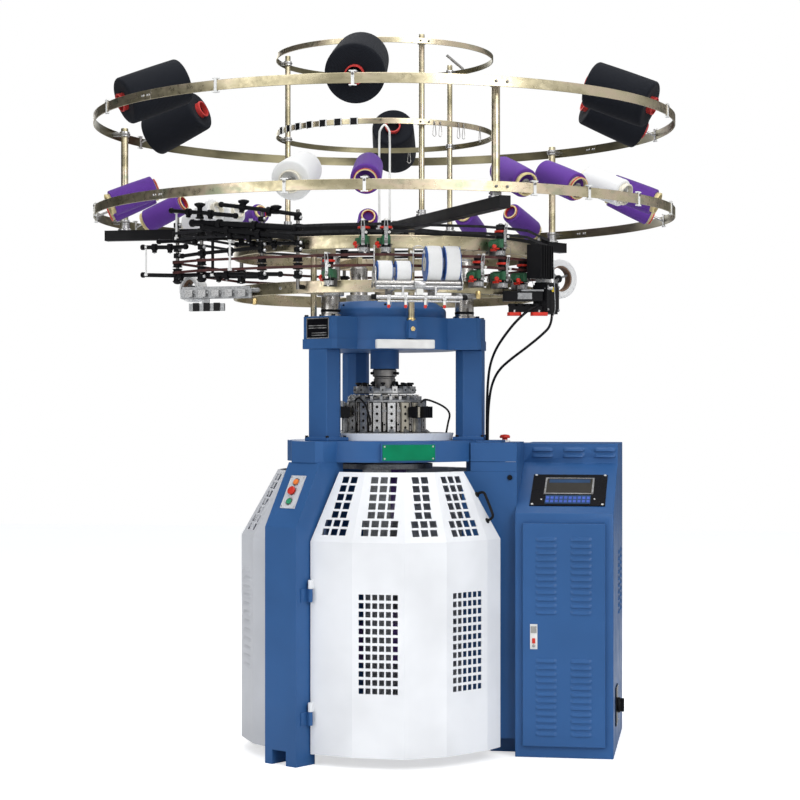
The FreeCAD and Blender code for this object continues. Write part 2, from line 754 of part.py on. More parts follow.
def make_cabinet():
    """The sheet-metal cabinet: sloping console, raised band, open front behind the door.

    A box from the band to the table covers the main drive belt.
    """
    body = new_body("cabinet_shell")
    outline = [
        (S.cabinet_front, Dim(0)),
        (S.cabinet_back, Dim(0)),
        (S.cabinet_back, S.band_high),
        (S.band_front, S.band_high),
        (S.band_front, S.console_high),
        (S.cabinet_front, S.console_low),
    ]
    sketch = sketch_outline(body, "YZ_Plane", outline, S.cabinet_left)
    pad(body, sketch, S.cabinet_right - S.cabinet_left)
    doc.recompute()
    left, right, low, high = CABINET_DOOR
    cavity = block(left + 14, right - 14, N.cabinet_front - 10, N.cabinet_back - 15, low + 15, high - 15)
    band = [louvre(x, N.band_front, z) for x in (620, 745, 870) for z in (1148, 1172)]
    housing = block(330, N.cabinet_left + 5, N.band_front, 400, 1130, N.band_high)
    housing = housing.cut(Part.makeCylinder(N.table_radius + 0.5, 200, Vector(0, 0, 1100)))
    group("cabinet_shell", [fused([body.Shape.cut(cavity), housing] + band)])
    leaf = block(left, right, N.cabinet_front - DOOR_LEAF - 1, N.cabinet_front - 1, low, high)
    face = N.cabinet_front - DOOR_LEAF - 1
    rows = [555 + LOUVRE.pitch * row for row in range(12)] + [88 + LOUVRE.pitch * row for row in range(12)]
    louvres = [louvre(x, face, z) for x in (664.5, 798.5) for z in rows]
    latch_bore = block(609, 625, face - 5, face + 12, 440, 462)
    group("cabinet_door", [fused([leaf] + louvres).cut(latch_bore)])


def make_cabinet_fittings():
    """Control board behind the door, latch button and main switch."""
    back = N.cabinet_back
    board = block(CABINET_DOOR[0] + 34, CABINET_DOOR[1] - 34, back - 40, back - 15, 110, 850)
    drive = block(640, 780, N.cabinet_back - 200, N.cabinet_back - 40, 520, 780)
    relays = block(630, 830, N.cabinet_back - 120, N.cabinet_back - 40, 360, 430)
    supply = block(650, 800, N.cabinet_back - 160, N.cabinet_back - 40, 150, 290)
    group("control_board", [fused([board, drive, relays, supply])])
    face = N.cabinet_front - DOOR_LEAF - 1
    group("latch_button", [block(610, 624, face - 7, face + 6, 441, 461)])
    knob = fused([regular(12, 30, 12), block(-7, 7, -26, 26, 12, 26)])
    place = Placement(Vector(N.cabinet_right + 6, 0, 180), Rotation(Z_AXIS, Vector(1, 0, 0)))
    group("main_switch", [placed(knob, place)])


TOP_STOP = Vector(463.0, 190.0, N.band_high)


def make_switch_plates():
    """The push-button plate on the operator's leg, the emergency-stop box and the switch plate."""
    plate = block(-69, 69, -37.5, 37.5, 0, 3)
    plate = on_leg_face(plate, 1026).cut(Part.makeCompound(button_pockets()))
    base = regular(12, 34, 30, N.band_high, Vector(TOP_STOP.x, TOP_STOP.y, 0))
    base = base.cut(regular(12, 12, 40, N.band_high + 8, Vector(TOP_STOP.x, TOP_STOP.y, 0)))
    switch = block(N.cabinet_right, N.cabinet_right + 5.5, -65, 65, 105, 255)
    group("switch_plates", [placed(plate, radial(LEFT_LEG)), base, switch])


def make_buttons():
    """Push buttons: each stands in a bore with room below it for its travel."""
    for label, z in BUTTON_HEIGHTS.items():
        stem = regular(12, BUTTON_BORE - 0.8, 20, -10)
        head = [stem, regular(12, 17, 10, 10)] if label == "stop_button" else [stem]
        group(label, [placed(on_leg_face(fused(head), z), radial(LEFT_LEG))])
    at = Vector(TOP_STOP.x, TOP_STOP.y, 0)
    head = regular(12, 22, 14, N.band_high + 36, at)
    group("emergency_button", [fused([regular(12, 11.2, 30, N.band_high + 14, at), head])])


# ---------------------------------------------------------------- creel
def make_creel_spider():
    """Hub and three square arms, each closed by an end cap."""
    half = N.arm_square / 2
    hub = regular(12, 75, N.arm_square, N.arm_z - half)
    arm = block(40, N.arm_reach, -half, half, N.arm_z - half, N.arm_z + half)
    group("creel_spider", [fused([hub] + [placed(arm, radial(angle)) for angle in ARM_ANGLES])])


OUTER_POST = 15.0
INNER_POST = 11.0
OUTER_STAND = 1100.0
INNER_STAND = 402.0
SUPPORT_POST = 12.5
RING_POST = 322.0


def make_creel_posts():
    """Upright tubes: creel posts with their clamps, crown supports, ring carriers, centre post."""
    arm_top = N.arm_z + N.arm_square / 2
    arm_low = N.arm_z - N.arm_square / 2
    tubes = []
    outer, inner = N.outer_ring - N.ring_band, N.inner_ring - N.ring_band
    for angle in ARM_ANGLES:
        for stand, radius, sides, top, ring, heights in (
            (OUTER_STAND, OUTER_POST, 10, N.outer_post_top, outer, (N.outer_low_z, N.outer_high_z)),
            (INNER_STAND, INNER_POST, 8, N.inner_post_top, inner, (N.inner_low_z, N.inner_high_z)),
        ):
            post = regular(sides, radius, top - arm_top, arm_top, Vector(stand, 0, 0))
            clamps = [block(stand, ring, -8, 8, z - 9, z + 9) for z in heights]
            tubes.append(placed(fused([post] + clamps), radial(angle)))
    for angle in LEG_ANGLES:
        tubes.append(regular(12, 37.0, 1925 - N.crown_high, N.crown_high, polar(RING_POST, angle)))
    tubes.append(regular(12, 40.0, arm_low - N.dome_high, N.dome_high))
    for angle in ARM_ANGLES:
        tubes.append(regular(8, SUPPORT_POST, arm_low - BOSS_TOP, BOSS_TOP, polar(CREEL_SUPPORT, angle)))
    group("creel_posts", tubes)


def flat_ring(sides, radius, middle, width):
    """A band on edge; its flats are short enough to read as a circle."""
    low, high, inner = middle - width / 2, middle + width / 2, radius - N.ring_band
    return turned([(radius, low), (radius, high), (inner, high), (inner, low)], sides, closed=True)


def make_creel_rings():
    """Four rings rolled from flat bar."""
    outer, inner = N.outer_band_width, N.inner_band_width
    rings = [flat_ring(50, N.outer_ring, z, outer) for z in (N.outer_low_z, N.outer_high_z)]
    rings += [flat_ring(28, N.inner_ring, z, inner) for z in (N.inner_low_z, N.inner_high_z)]
    group("creel_rings", rings)


# yarn packages: angle round the ring, radius at the foot, radius at the tip
BLACK_PLACES = ((-145, 90, 88), (-86, 106, 98), (-12, 91, 90), (22.5, 86, 84), (97, 97, 92), (164, 88, 84))
PURPLE_PLACES = ((-169.5, 50, 41), (-156, 50, 47), (-84, 54, 50), (-53.6, 52, 49), (-41.5, 52, 49),
                 (-8.6, 50, 48), (17, 44, 34), (62.5, 48, 44), (77, 50, 47), (104, 48, 44),
                 (135.5, 48, 44), (166, 49, 45))
WHITE_PLACES = ((-98, 73, 62), (-26.8, 51, 49), (143, 50, 48), (150.5, 55, 52))
PIN_RISE = 22.0
PIN_FREE = 64.0
PACKAGE = {
    "black": SimpleNamespace(length=250.0, tube=34.0, ring="outer_high_z"),
    "purple": SimpleNamespace(length=175.0, tube=31.0, ring="outer_low_z"),
    "white": SimpleNamespace(length=165.0, tube=31.0, ring="outer_low_z"),
}
TUBE_PROUD = 18.0


def pin_place(angle, z):
    """A frame at the ring's inner face whose Z runs up the package pin, inwards and upwards."""
    rise = math.radians(PIN_RISE)
    towards = Vector(-math.cos(rise), 0, math.sin(rise))
    start = Vector(N.outer_ring - N.ring_band - 3, 0, z)
    return radial(angle).multiply(Placement(start, Rotation(Z_AXIS, towards)))


def packages(kind, places):
    size = PACKAGE[kind]
    z = getattr(N, size.ring)
    cones = []
    tubes = []
    holders = []
    for angle, foot, tip in places:
        place = pin_place(angle, z)
        cone = turned([(foot, PIN_FREE), (tip, PIN_FREE + size.length)], 16)
        cones.append(placed(cone, place))
        stub = regular(8, size.tube, TUBE_PROUD, PIN_FREE + size.length)
        tubes.append(placed(stub, place))
        clip = block(N.outer_ring - N.ring_band - 5, N.outer_ring + 7, -6, 6, z - 27, z + 27)
        holders.append(fused([placed(clip, radial(angle)), placed(regular(4, 5, PIN_FREE, 0), place)]))
    return cones, tubes, holders


def make_packages():
    """Yarn packages on their tubes, each held by an inclined pin and a clip on the ring."""
    all_tubes = []
    all_holders = []
    for kind, label, places in (
        ("black", "black_packages", BLACK_PLACES),
        ("purple", "purple_cones", PURPLE_PLACES),
        ("white", "white_cones", WHITE_PLACES),
    ):
        cones, tubes, holders = packages(kind, places)
        group(label, cones)
        all_tubes += tubes
        all_holders += holders
    group("package_tubes", all_tubes)
    group("package_holders", all_holders)


# ---------------------------------------------------------------- yarn feeders
UPPER_FEEDERS = (-87.3, -80.1, -38.5)
LOWER_FEEDERS = (-99.0, -48.0, -37.5, -26.5)


def make_feeder_rings():
    """Two feeder rings on three pairs of bars from the ring posts."""
    rings = []
    for low, height in ((1935.0, 50.0), (1773.0, 46.0)):
        reach = N.feeder_ring / math.cos(math.radians(5.625))
        ring = ring_prism(32, reach, N.feeder_ring - N.feeder_band, low, height)
        end = N.feeder_ring - N.feeder_band + 3
        if low < 1900:
            bar = block(RING_POST + 30, end, -9, 9, low + 8, low + height - 8)
        else:
            bar = block(RING_POST - 20, end, -9, 9, low, low + 34)
            bar = bar.fuse(block(RING_POST - 20, RING_POST + 20, -9, 9, 1925, low))
        bars = [placed(bar, radial(angle)) for angle in LEG_ANGLES]
        rings.append(fused([ring] + bars))
    group("feeder_rings", rings)


def feeder_spindle(disc):
    """One feeder's turning part: belt pulley with its clutch disc, shaft and pin wheel."""
    pulley = regular(8, 18, 52, disc - 26)
    clutch = regular(8, 23, 8, disc - 4)
    shaft = regular(6, 5, 60, disc - 80)
    wheel = regular(8, 20, 26, disc - 93)
    return fused([pulley, clutch, shaft, wheel])


def feeder_housing(disc):
    """A feeder's body: slotted round the shaft, with the plate that clamps it to the ring."""
    outer, shaft = N.feeder_circle + 22, N.feeder_circle
    start = N.feeder_ring + 7
    plan = [
        (start, -17), (outer - 8, -17), (outer, -9), (outer, -6.5), (shaft - 6.5, -6.5),
        (shaft - 6.5, 6.5), (outer, 6.5), (outer, 9), (outer - 8, 17), (start, 17),
    ]
    body = prism([Vector(x, y, disc - 62) for x, y in plan], Vector(0, 0, 31))
    plate = block(N.feeder_ring - 1, start, -17, 17, disc - 104, disc - 31)
    return fused([body, plate])


def make_feeders():
    housings = []
    for discs, angles in ((N.upper_disc_z, UPPER_FEEDERS), (N.lower_disc_z, LOWER_FEEDERS)):
        for angle in angles:
            housings.append(placed(feeder_housing(discs), radial(angle)))
    group("feeder_housings", housings)
    rows = (("upper", N.upper_disc_z, UPPER_FEEDERS), ("lower", N.lower_disc_z, LOWER_FEEDERS))
    for row, disc, angles in rows:
        for index, angle in enumerate(angles, start=1):
            spindle = feeder_spindle(disc)
            spindle.Placement = Placement(polar(N.feeder_circle, angle), Rotation(Z_AXIS, angle))
            group("%s_feeder_wheel_%d" % (row, index), [spindle])


BELT_LEVELS = (2019.0, 1994.0, 1907.0, 1868.0)
PULLEY = 18.0
IDLER = 17.0
# idlers of the belt tensioner, across and away as the operator sees them
TENSIONER = ((-318.0, -556.0), (-455.0, -503.0), (-695.0, -366.0), (-800.0, -250.0))
# idlers on brackets round the back of the feeder rings
BACK_IDLERS = (15.0, 65.0, 115.0, 165.0)


def belt_course(gap):
    """The belts' course: the tightest closed outline round every wheel, moved out by the gap."""
    rims = [(polar(N.feeder_circle, angle), PULLEY + 0.5) for angle in UPPER_FEEDERS + LOWER_FEEDERS]
    rims += [(front(x, y), IDLER) for x, y in TENSIONER]
    rims += [(polar(N.feeder_circle, angle), IDLER) for angle in BACK_IDLERS]
    points = []
    for middle, radius in rims:
        reach = (radius + gap) / math.cos(math.radians(22.5))
        points += [middle + polar(reach, 45 * k + 22.5) for k in range(8)]
    return outer_course(points)


def outer_course(points):
    """The points that a tight loop round all of them would touch, in order."""
    ordered = sorted(points, key=lambda point: (point.x, point.y))
    course = []
    for run in (ordered, ordered[::-1]):
        side = []
        for point in run:
            while len(side) > 1 and (side[-1] - side[-2]).cross(point - side[-1]).z <= 1.0:
                side.pop()
            side.append(point)
        course += side[:-1]
    return course


def make_belts():
    """Four drive belts on edge round the feeder pulleys, the tensioner and the back idlers."""
    outer, inner = belt_course(2.2), belt_course(0.2)
    band = prism(outer, Vector(0, 0, 10)).cut(prism(inner, Vector(0, 0, 10)))
    belts = []
    for level in BELT_LEVELS:
        belts.append(placed(band, Placement(Vector(0, 0, level - 5), Rotation())))
    group("drive_belts", belts)


def make_tensioner():
    """The belt tensioner on the operator's left: shafts with idlers, clamp bars and thumb knobs."""
    shafts = TENSIONER
    pieces = []
    for x, y in shafts:
        at = front(x, y)
        pieces.append(regular(4, 7, 243, 1840, at))
        for low, high in ((1984, 2029), (1860, 1915)):
            pieces.append(regular(8, IDLER / math.cos(math.radians(22.5)), high - low, low, at))
    for z in (2072.0, 1850.0):
        for (x0, y0), (x1, y1) in zip(shafts[:-1], shafts[1:]):
            pieces.append(rod(front(x0, y0, z), front(x1, y1, z), 9, 4))
        x0, y0 = shafts[-1]
        pieces.append(rod(front(x0, y0, z), front(x0 - 140, y0 + 30, z), 9, 4))
    anchor = front(-318, -556)
    inner = front(-318 * 590 / 640.5, -556 * 590 / 640.5)
    for z in (1948.0, 1790.0):
        pieces.append(rod(anchor + Vector(0, 0, z), inner + Vector(0, 0, z), 9, 4))
    pieces.append(regular(4, 7, 60, 1785, anchor))
    back = []
    for angle in BACK_IDLERS:
        idler = regular(8, IDLER / math.cos(math.radians(22.5)), 164, 1860, polar(N.feeder_circle, angle))
        bracket = block(N.feeder_ring - 1, N.feeder_circle, -8, 8, 1950, 1966)
        back.append(fused([idler, placed(bracket, radial(angle))]))
    group("belt_tensioner", [fused(pieces)] + back)


# ---------------------------------------------------------------- elastic-yarn unit and side units
UNIT_ANGLE = -71.5
ROLLER_SPREAD = 28.0


def unit_place():
    """Frame of the elastic-yarn unit: X outwards, Y to the operator's right, Z up."""
    return radial(UNIT_ANGLE).multiply(Placement(Vector(N.unit_circle, 0, 0), Rotation()))


def across(shape):
    """Lay a shape modelled along +Z along the unit's Y."""
    return placed(shape, Placement(ORIGIN, Rotation(Vector(1, 0, 0), -90)))


def unit_bar(radius, sides, x, z, start, end):
    shape = across(regular(sides, radius, end - start, start))
    return placed(shape, Placement(Vector(x, 0, z), Rotation()))


def make_elastic_unit():
    """End plates, rods and guides; two drive rollers; two pairs of bobbins that lie on them."""
    half = N.unit_width / 2
    z = N.unit_roller_z
    low = z - 52
    plates = [block(-45, 45, side * half - 2, side * half + 2, z - 24, z + 60) for side in (-1, 1)]
    plates += [block(-3, 3, side * half - 2, side * half + 2, z + 60, z + 138) for side in (-1, 1)]
    rods = [unit_bar(5, 8, 40, z - 14, -half, half), unit_bar(5, 8, -40, z - 14, -half, half)]
    rail = unit_bar(7, 8, 45, low, -half - 12, half + 12)
    hangers = [block(40, 50, side * 60 - 4, side * 60 + 4, low, z - 10) for side in (-1, 1)]
    guides = [block(41, 49, y - 4, y + 4, low - 40, low) for y in (-112, -50, 22, 92)]
    knob = block(42, 62, -20, 20, z - 22, z + 8)
    arms = [block(N.feeder_ring - N.unit_circle + 1.5, -35, y - 6, y + 6, z - 22, z - 10) for y in (-80, 80)]
    bores = [unit_bar(7, 8, x, z, -half - 9, half + 9) for x in (-ROLLER_SPREAD, ROLLER_SPREAD)]
    frame = fused(plates + rods + [rail] + hangers + guides + [knob] + arms)
    frame = frame.cut(Part.makeCompound(bores))
    group("elastic_unit_frame", [placed(frame, unit_place())])
    for label, x in (("elastic_roller_front", ROLLER_SPREAD), ("elastic_roller_rear", -ROLLER_SPREAD)):
        drum = unit_bar(N.unit_roller, 12, x, z, -half + 3, half - 3)
        shaft = unit_bar(6, 8, x, z, -half - 6, half + 6)
        group(label, [placed(fused([drum, shaft]), unit_place())])
    for label, radius, starts in (
        ("small_bobbins", N.small_bobbin, (-150, -82)),
        ("large_bobbins", N.large_bobbin, (28, 95)),
    ):
        reach = radius + N.unit_roller + 0.6
        height = z + math.sqrt(reach**2 - ROLLER_SPREAD**2)
        discs = [unit_bar(radius, 16, 0, height, start, start + 57) for start in starts]
        core = unit_bar(radius * 0.4, 10, 0, height, starts[0] - 3, starts[1] + 60)
        group(label, [placed(fused(discs + [core]), unit_place())])


RIGHT_SPOOL = (674.0, -245.0, 1845.0)
LEFT_SPOOL = (-745.0, -190.0, 1808.0)


def make_side_units():
    """The two side yarn units: motor and cooling fins on the right, tray and clip on the left."""
    fins = [block(742, 752, -95 + 14 * k, -88 + 14 * k, 1836, 1960) for k in range(8)]
    core = block(692, 743, -95, 5, 1834, 1962)
    motor = block(692, 752, -45, 55, 1703, 1821)
    neck = block(700, 740, -40, 0, 1820, 1835)
    foot = block(N.feeder_ring - 2, 694, -10, 10, 1781, 1799)
    boxes = placed(fused(fins + [core, motor, neck, foot]), radial(-22.5))
    arm = prism([front(x, y, 1706) for x, y in ((473, -426), (600, -426), (600, -402), (473, -402))],
                Vector(0, 0, 24))
    lower = prism([front(x, y, 1745) for x, y in ((450, -440), (600, -440), (600, -405), (450, -405))],
                  Vector(0, 0, 42))
    right = fused([boxes, arm, lower] + spool_peg(RIGHT_SPOOL, (645, -335, 1812), 50, (0.5, -0.86)))
    corners = ((-783, -305), (-503, -390), (-503, -330), (-783, -245))
    slab = prism([front(x, y, 1764) for x, y in corners], Vector(0, 0, 46))
    tab = prism([front(x, y, 1716) for x, y in ((-610, -351), (-750, -307), (-750, -267), (-610, -311))],
                Vector(0, 0, 30))
    link = prism([front(x, y, 1745) for x, y in ((-670, -325), (-700, -317), (-700, -295), (-670, -303))],
                 Vector(0, 0, 20))
    brace = rod(front(-508, -372, 1795), front(-462, -360, 1795), 9)
    left = fused([slab, tab, link, brace] + spool_peg(LEFT_SPOOL, (-738, -262, 1800), 38, (-0.6, -0.8)))
    group("side_units", [right, left])
    spools = [spool(76, 50, 44, RIGHT_SPOOL, (0.5, -0.86)), spool(50, 38, 60, LEFT_SPOOL, (-0.6, -0.8))]
    group("side_spools", spools)


def spool_place(middle, axis):
    return Placement(front(*middle), Rotation(Z_AXIS, front(*axis)))


def spool(radius, inner, width, middle, axis):
    return placed(ring_prism(14, radius, inner, -width / 2, width), spool_place(middle, axis))


def spool_peg(middle, root, inner, axis):
    """A peg from the unit into the spool's bore, with the disc that the spool sits on."""
    disc = placed(regular(14, inner, 10, -5), spool_place(middle, axis))
    return [disc, rod(front(*root), front(*middle), 6, 4)]


# ---------------------------------------------------------------- cables
def smooth_path(points):
    """Straight runs joined by tangent arcs, each as large as its two runs allow."""
    edges = []
    start = points[0]
    radii = []
    for before, corner, after in zip(points[:-2], points[1:-1], points[2:]):
        into, out = (corner - before), (after - corner)
        shorter = min(into.Length, out.Length)
        into.normalize()
        out.normalize()
        turn = into.getAngle(out)
        cut = 0.45 * shorter
        radii.append(cut / math.tan(turn / 2))
        arc_start, arc_end = corner - into * cut, corner + out * cut
        bisector = (out - into).normalize()
        middle = corner + bisector * (radii[-1] / math.cos(turn / 2) - radii[-1])
        edges.append(Part.LineSegment(start, arc_start).toShape())
        edges.append(Part.Arc(arc_start, middle, arc_end).toShape())
        start = arc_end
    edges.append(Part.LineSegment(start, points[-1]).toShape())
    return Part.Wire(edges), radii


CABLE_ROUTES = (
    ((592, -416, 1735), (558, -443, 1724), (505, -436, 1679), (463, -385, 1626), (428, -310, 1570),
     (410, -226, 1510), (405, -158, 1437), (404, -117, 1357), (404, -103, 1286), (404, -101, 1218)),
    ((640, -380, 1703), (638, -386, 1660), (600, -400, 1622), (545, -395, 1577), (485, -350, 1532),
     (440, -275, 1490), (417, -195, 1432), (409, -142, 1352), (407, -124, 1280), (407, -121, 1218)),
)
CABLE_RADIUS = 5.0


def make_cables():
    """Two motor cables from the right-hand unit to the column, and down it to the table."""
    cables = []
    for route in CABLE_ROUTES:
        path, radii = smooth_path([front(*point) for point in route])
        along = front(*route[1]) - front(*route[0])
        section = Part.makePolygon([polar(CABLE_RADIUS, 90 * k) for k in range(5)])
        section.Placement = Placement(front(*route[0]), Rotation(Z_AXIS, along))
        tube = path.makePipeShell([section], True, False)
        print("cable radii", [round(radius) for radius in radii], "length", round(path.Length))
        cables.append(tube)
    group("motor_cables", cables)


# ---------------------------------------------------------------- build
def export():
    doc.recompute()
    os.makedirs("parts", exist_ok=True)
    for item in doc.Objects:
        if "Invalid" in item.State or "Error" in item.State:
            raise RuntimeError("failed feature: " + item.Name)
    for feature in NODES:
        shape = feature.Shape
        if shape.isNull() or not shape.isValid() or not shape.Solids:
            raise RuntimeError("bad shape: " + feature.Label)
        shape.exportStep("parts/%s.step" % feature.Label)
    print(len(NODES), "sub-parts written")


make_legs()
make_table()
make_tray()
make_columns()
make_crown()
make_plates()
make_cams()
make_dial_housing()
make_rotor()
make_takedown()
make_fabric()
make_doors()
make_cabinet()
make_cabinet_fittings()
make_switch_plates()
make_buttons()
make_creel_spider()
make_creel_posts()
make_creel_rings()
make_packages()
make_feeder_rings()
make_feeders()
make_belts()
make_tensioner()
make_elastic_unit()
make_side_units()
make_cables()
export()
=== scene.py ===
"""Looks of the circular knitting machine: castings, guard doors, cabinet, creel, feeders and yarn."""
import math

import bmesh
import bpy
from bpy.props import FloatProperty, FloatVectorProperty, IntProperty, PointerProperty
from mathutils import Matrix, Vector


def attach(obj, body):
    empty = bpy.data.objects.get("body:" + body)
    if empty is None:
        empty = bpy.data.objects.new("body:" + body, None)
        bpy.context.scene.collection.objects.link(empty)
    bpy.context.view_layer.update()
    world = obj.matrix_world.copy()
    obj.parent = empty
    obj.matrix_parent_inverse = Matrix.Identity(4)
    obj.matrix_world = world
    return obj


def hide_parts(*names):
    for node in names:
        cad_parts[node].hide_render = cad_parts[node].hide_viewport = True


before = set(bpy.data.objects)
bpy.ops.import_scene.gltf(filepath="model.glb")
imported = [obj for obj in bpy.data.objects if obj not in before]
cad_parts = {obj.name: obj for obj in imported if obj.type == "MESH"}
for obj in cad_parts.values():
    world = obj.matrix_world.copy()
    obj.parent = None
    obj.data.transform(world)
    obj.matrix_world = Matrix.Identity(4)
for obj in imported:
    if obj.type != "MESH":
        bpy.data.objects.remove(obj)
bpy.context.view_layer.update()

bl_info = {
    "name": "Circular knitting machine",
    "version": (1, 0, 0),
    "blender": (4, 5, 0),
    "location": "3D View > Sidebar > Knitting",
    "description": "Dresses a circular knitting machine with its creel, cabinet and guard doors",
    "category": "Object",
}

# measures of the machine are in millimetres and degrees
MM = 0.001
IDENTITY = Matrix.Identity(4)
UP = Vector((0, 0, 1))
FACING = Matrix.Rotation(math.radians(9), 4, "Z")
LEG_ANGLES = (-1.0, 119.0, 239.0)
LEFT_LEG = LEG_ANGLES[2]
LEG_LEAN = math.atan2(605.0 - 473.0, 1137.0 - 895.0)
CONSOLE_SLOPE = math.atan2(184.0, 350.0)
BUTTON_LEVELS = (1062, 1027, 990)
EMERGENCY_STOP = (463, 190)
OUTER_RING, OUTER_LEVELS, OUTER_WIDTH = 1152, (2110, 2473), 36
INNER_RING, INNER_LEVELS, INNER_WIDTH = 434, (2431, 2738), 21
FEEDER_REACH = 650
ARM_ANGLES = (-60.0, 57.2, 176.4)
ARM_LOW, ARM_HIGH, ARM_REACH = 2034.0, 2076.0, 1180.0
OUTER_STAND, INNER_STAND = 1100.0, 402.0


def tint(name, text, colour):
    return FloatVectorProperty(name=name, description=text, subtype="COLOR", size=3, min=0, max=1,
                               default=colour)


def length(name, text, value):
    return FloatProperty(name=name, description=text, subtype="DISTANCE", unit="LENGTH", default=value)


class KnittingColours(bpy.types.PropertyGroup):
    """Colours that a user would change"""

    casting: tint("Castings", "Blue enamel of legs, table, crown and cabinet", (0.030, 0.105, 0.280))
    guard: tint("Front guard", "White powder coat of the front guard door", (0.86, 0.87, 0.89))
    side_guard: tint("Side guards", "Grey-white powder coat of the side guards", (0.60, 0.61, 0.64))
    creel: tint("Creel", "Yellow zinc of the creel rings and posts", (0.70, 0.63, 0.45))
    cone: tint("Cones", "Yarn on the small cones", (0.135, 0.048, 0.33))
    package: tint("Packages", "Yarn on the large packages", (0.006, 0.007, 0.010))
    bare_yarn: tint("Undyed yarn", "Undyed yarn on cones and bobbins", (0.84, 0.84, 0.83))
    feeder: tint("Feeders", "Moulded bodies of the yarn feeders", (0.035, 0.135, 0.065))


class KnittingSizes(bpy.types.PropertyGroup):
    """Sizes that a user would change"""

    edge: length("Casting edge", "Rounding of the castings' edges", 0.0022)
    sheet: length("Guard sheet", "Thickness of the guards' sheet metal", 0.003)
    window: length("Window", "Side of a square window in the leaning panels", 0.028)
    window_pitch: length("Window pitch", "Distance between windows", 0.0365)
    hole_wide: length("Hole width", "Width of a hole in the lower fields", 0.0195)
    hole_tall: length("Hole height", "Height of a hole in the lower fields", 0.0215)
    hole_rows: IntProperty(name="Hole rows", description="Rows of the lower fields", default=12)
    yarn: length("Yarn winding", "Distance between the threads seen on a package", 0.004)
    round_sides: IntProperty(name="Round sides", description="Sides of a large turned piece", default=64,
                             min=12)


# ---------------------------------------------------------------- places
def front(x, y, z=0.0):
    """A point given across and away as the operator sees it."""
    return FACING @ Vector((x, y, z))


def polar(radius, degrees, z=0.0):
    angle = math.radians(degrees)
    return Vector((radius * math.cos(angle), radius * math.sin(angle), z))


def radial(degrees):
    return Matrix.Rotation(math.radians(degrees), 4, "Z")


def at(x, y, z):
    return Matrix.Translation((x, y, z))


def local(place, *points):
    """Points given in a local frame."""
    return [place @ Vector(point) for point in points]


def oblong(x0, x1, y0, y1):
    """Four corners of an oblong, which is also a plain ring's section: radii first, then heights."""
    return [(x0, y0), (x1, y0), (x1, y1), (x0, y1)]


def facing(point, direction):
    """A frame at a point whose local Z runs along a direction."""
    z = Vector(direction).normalized()
    x = UP.cross(z)
    x = x.normalized() if x.length > 1e-6 else Vector((1, 0, 0))
    turn = Matrix((x, z.cross(x), z)).transposed().to_4x4()
    return Matrix.Translation(point) @ turn


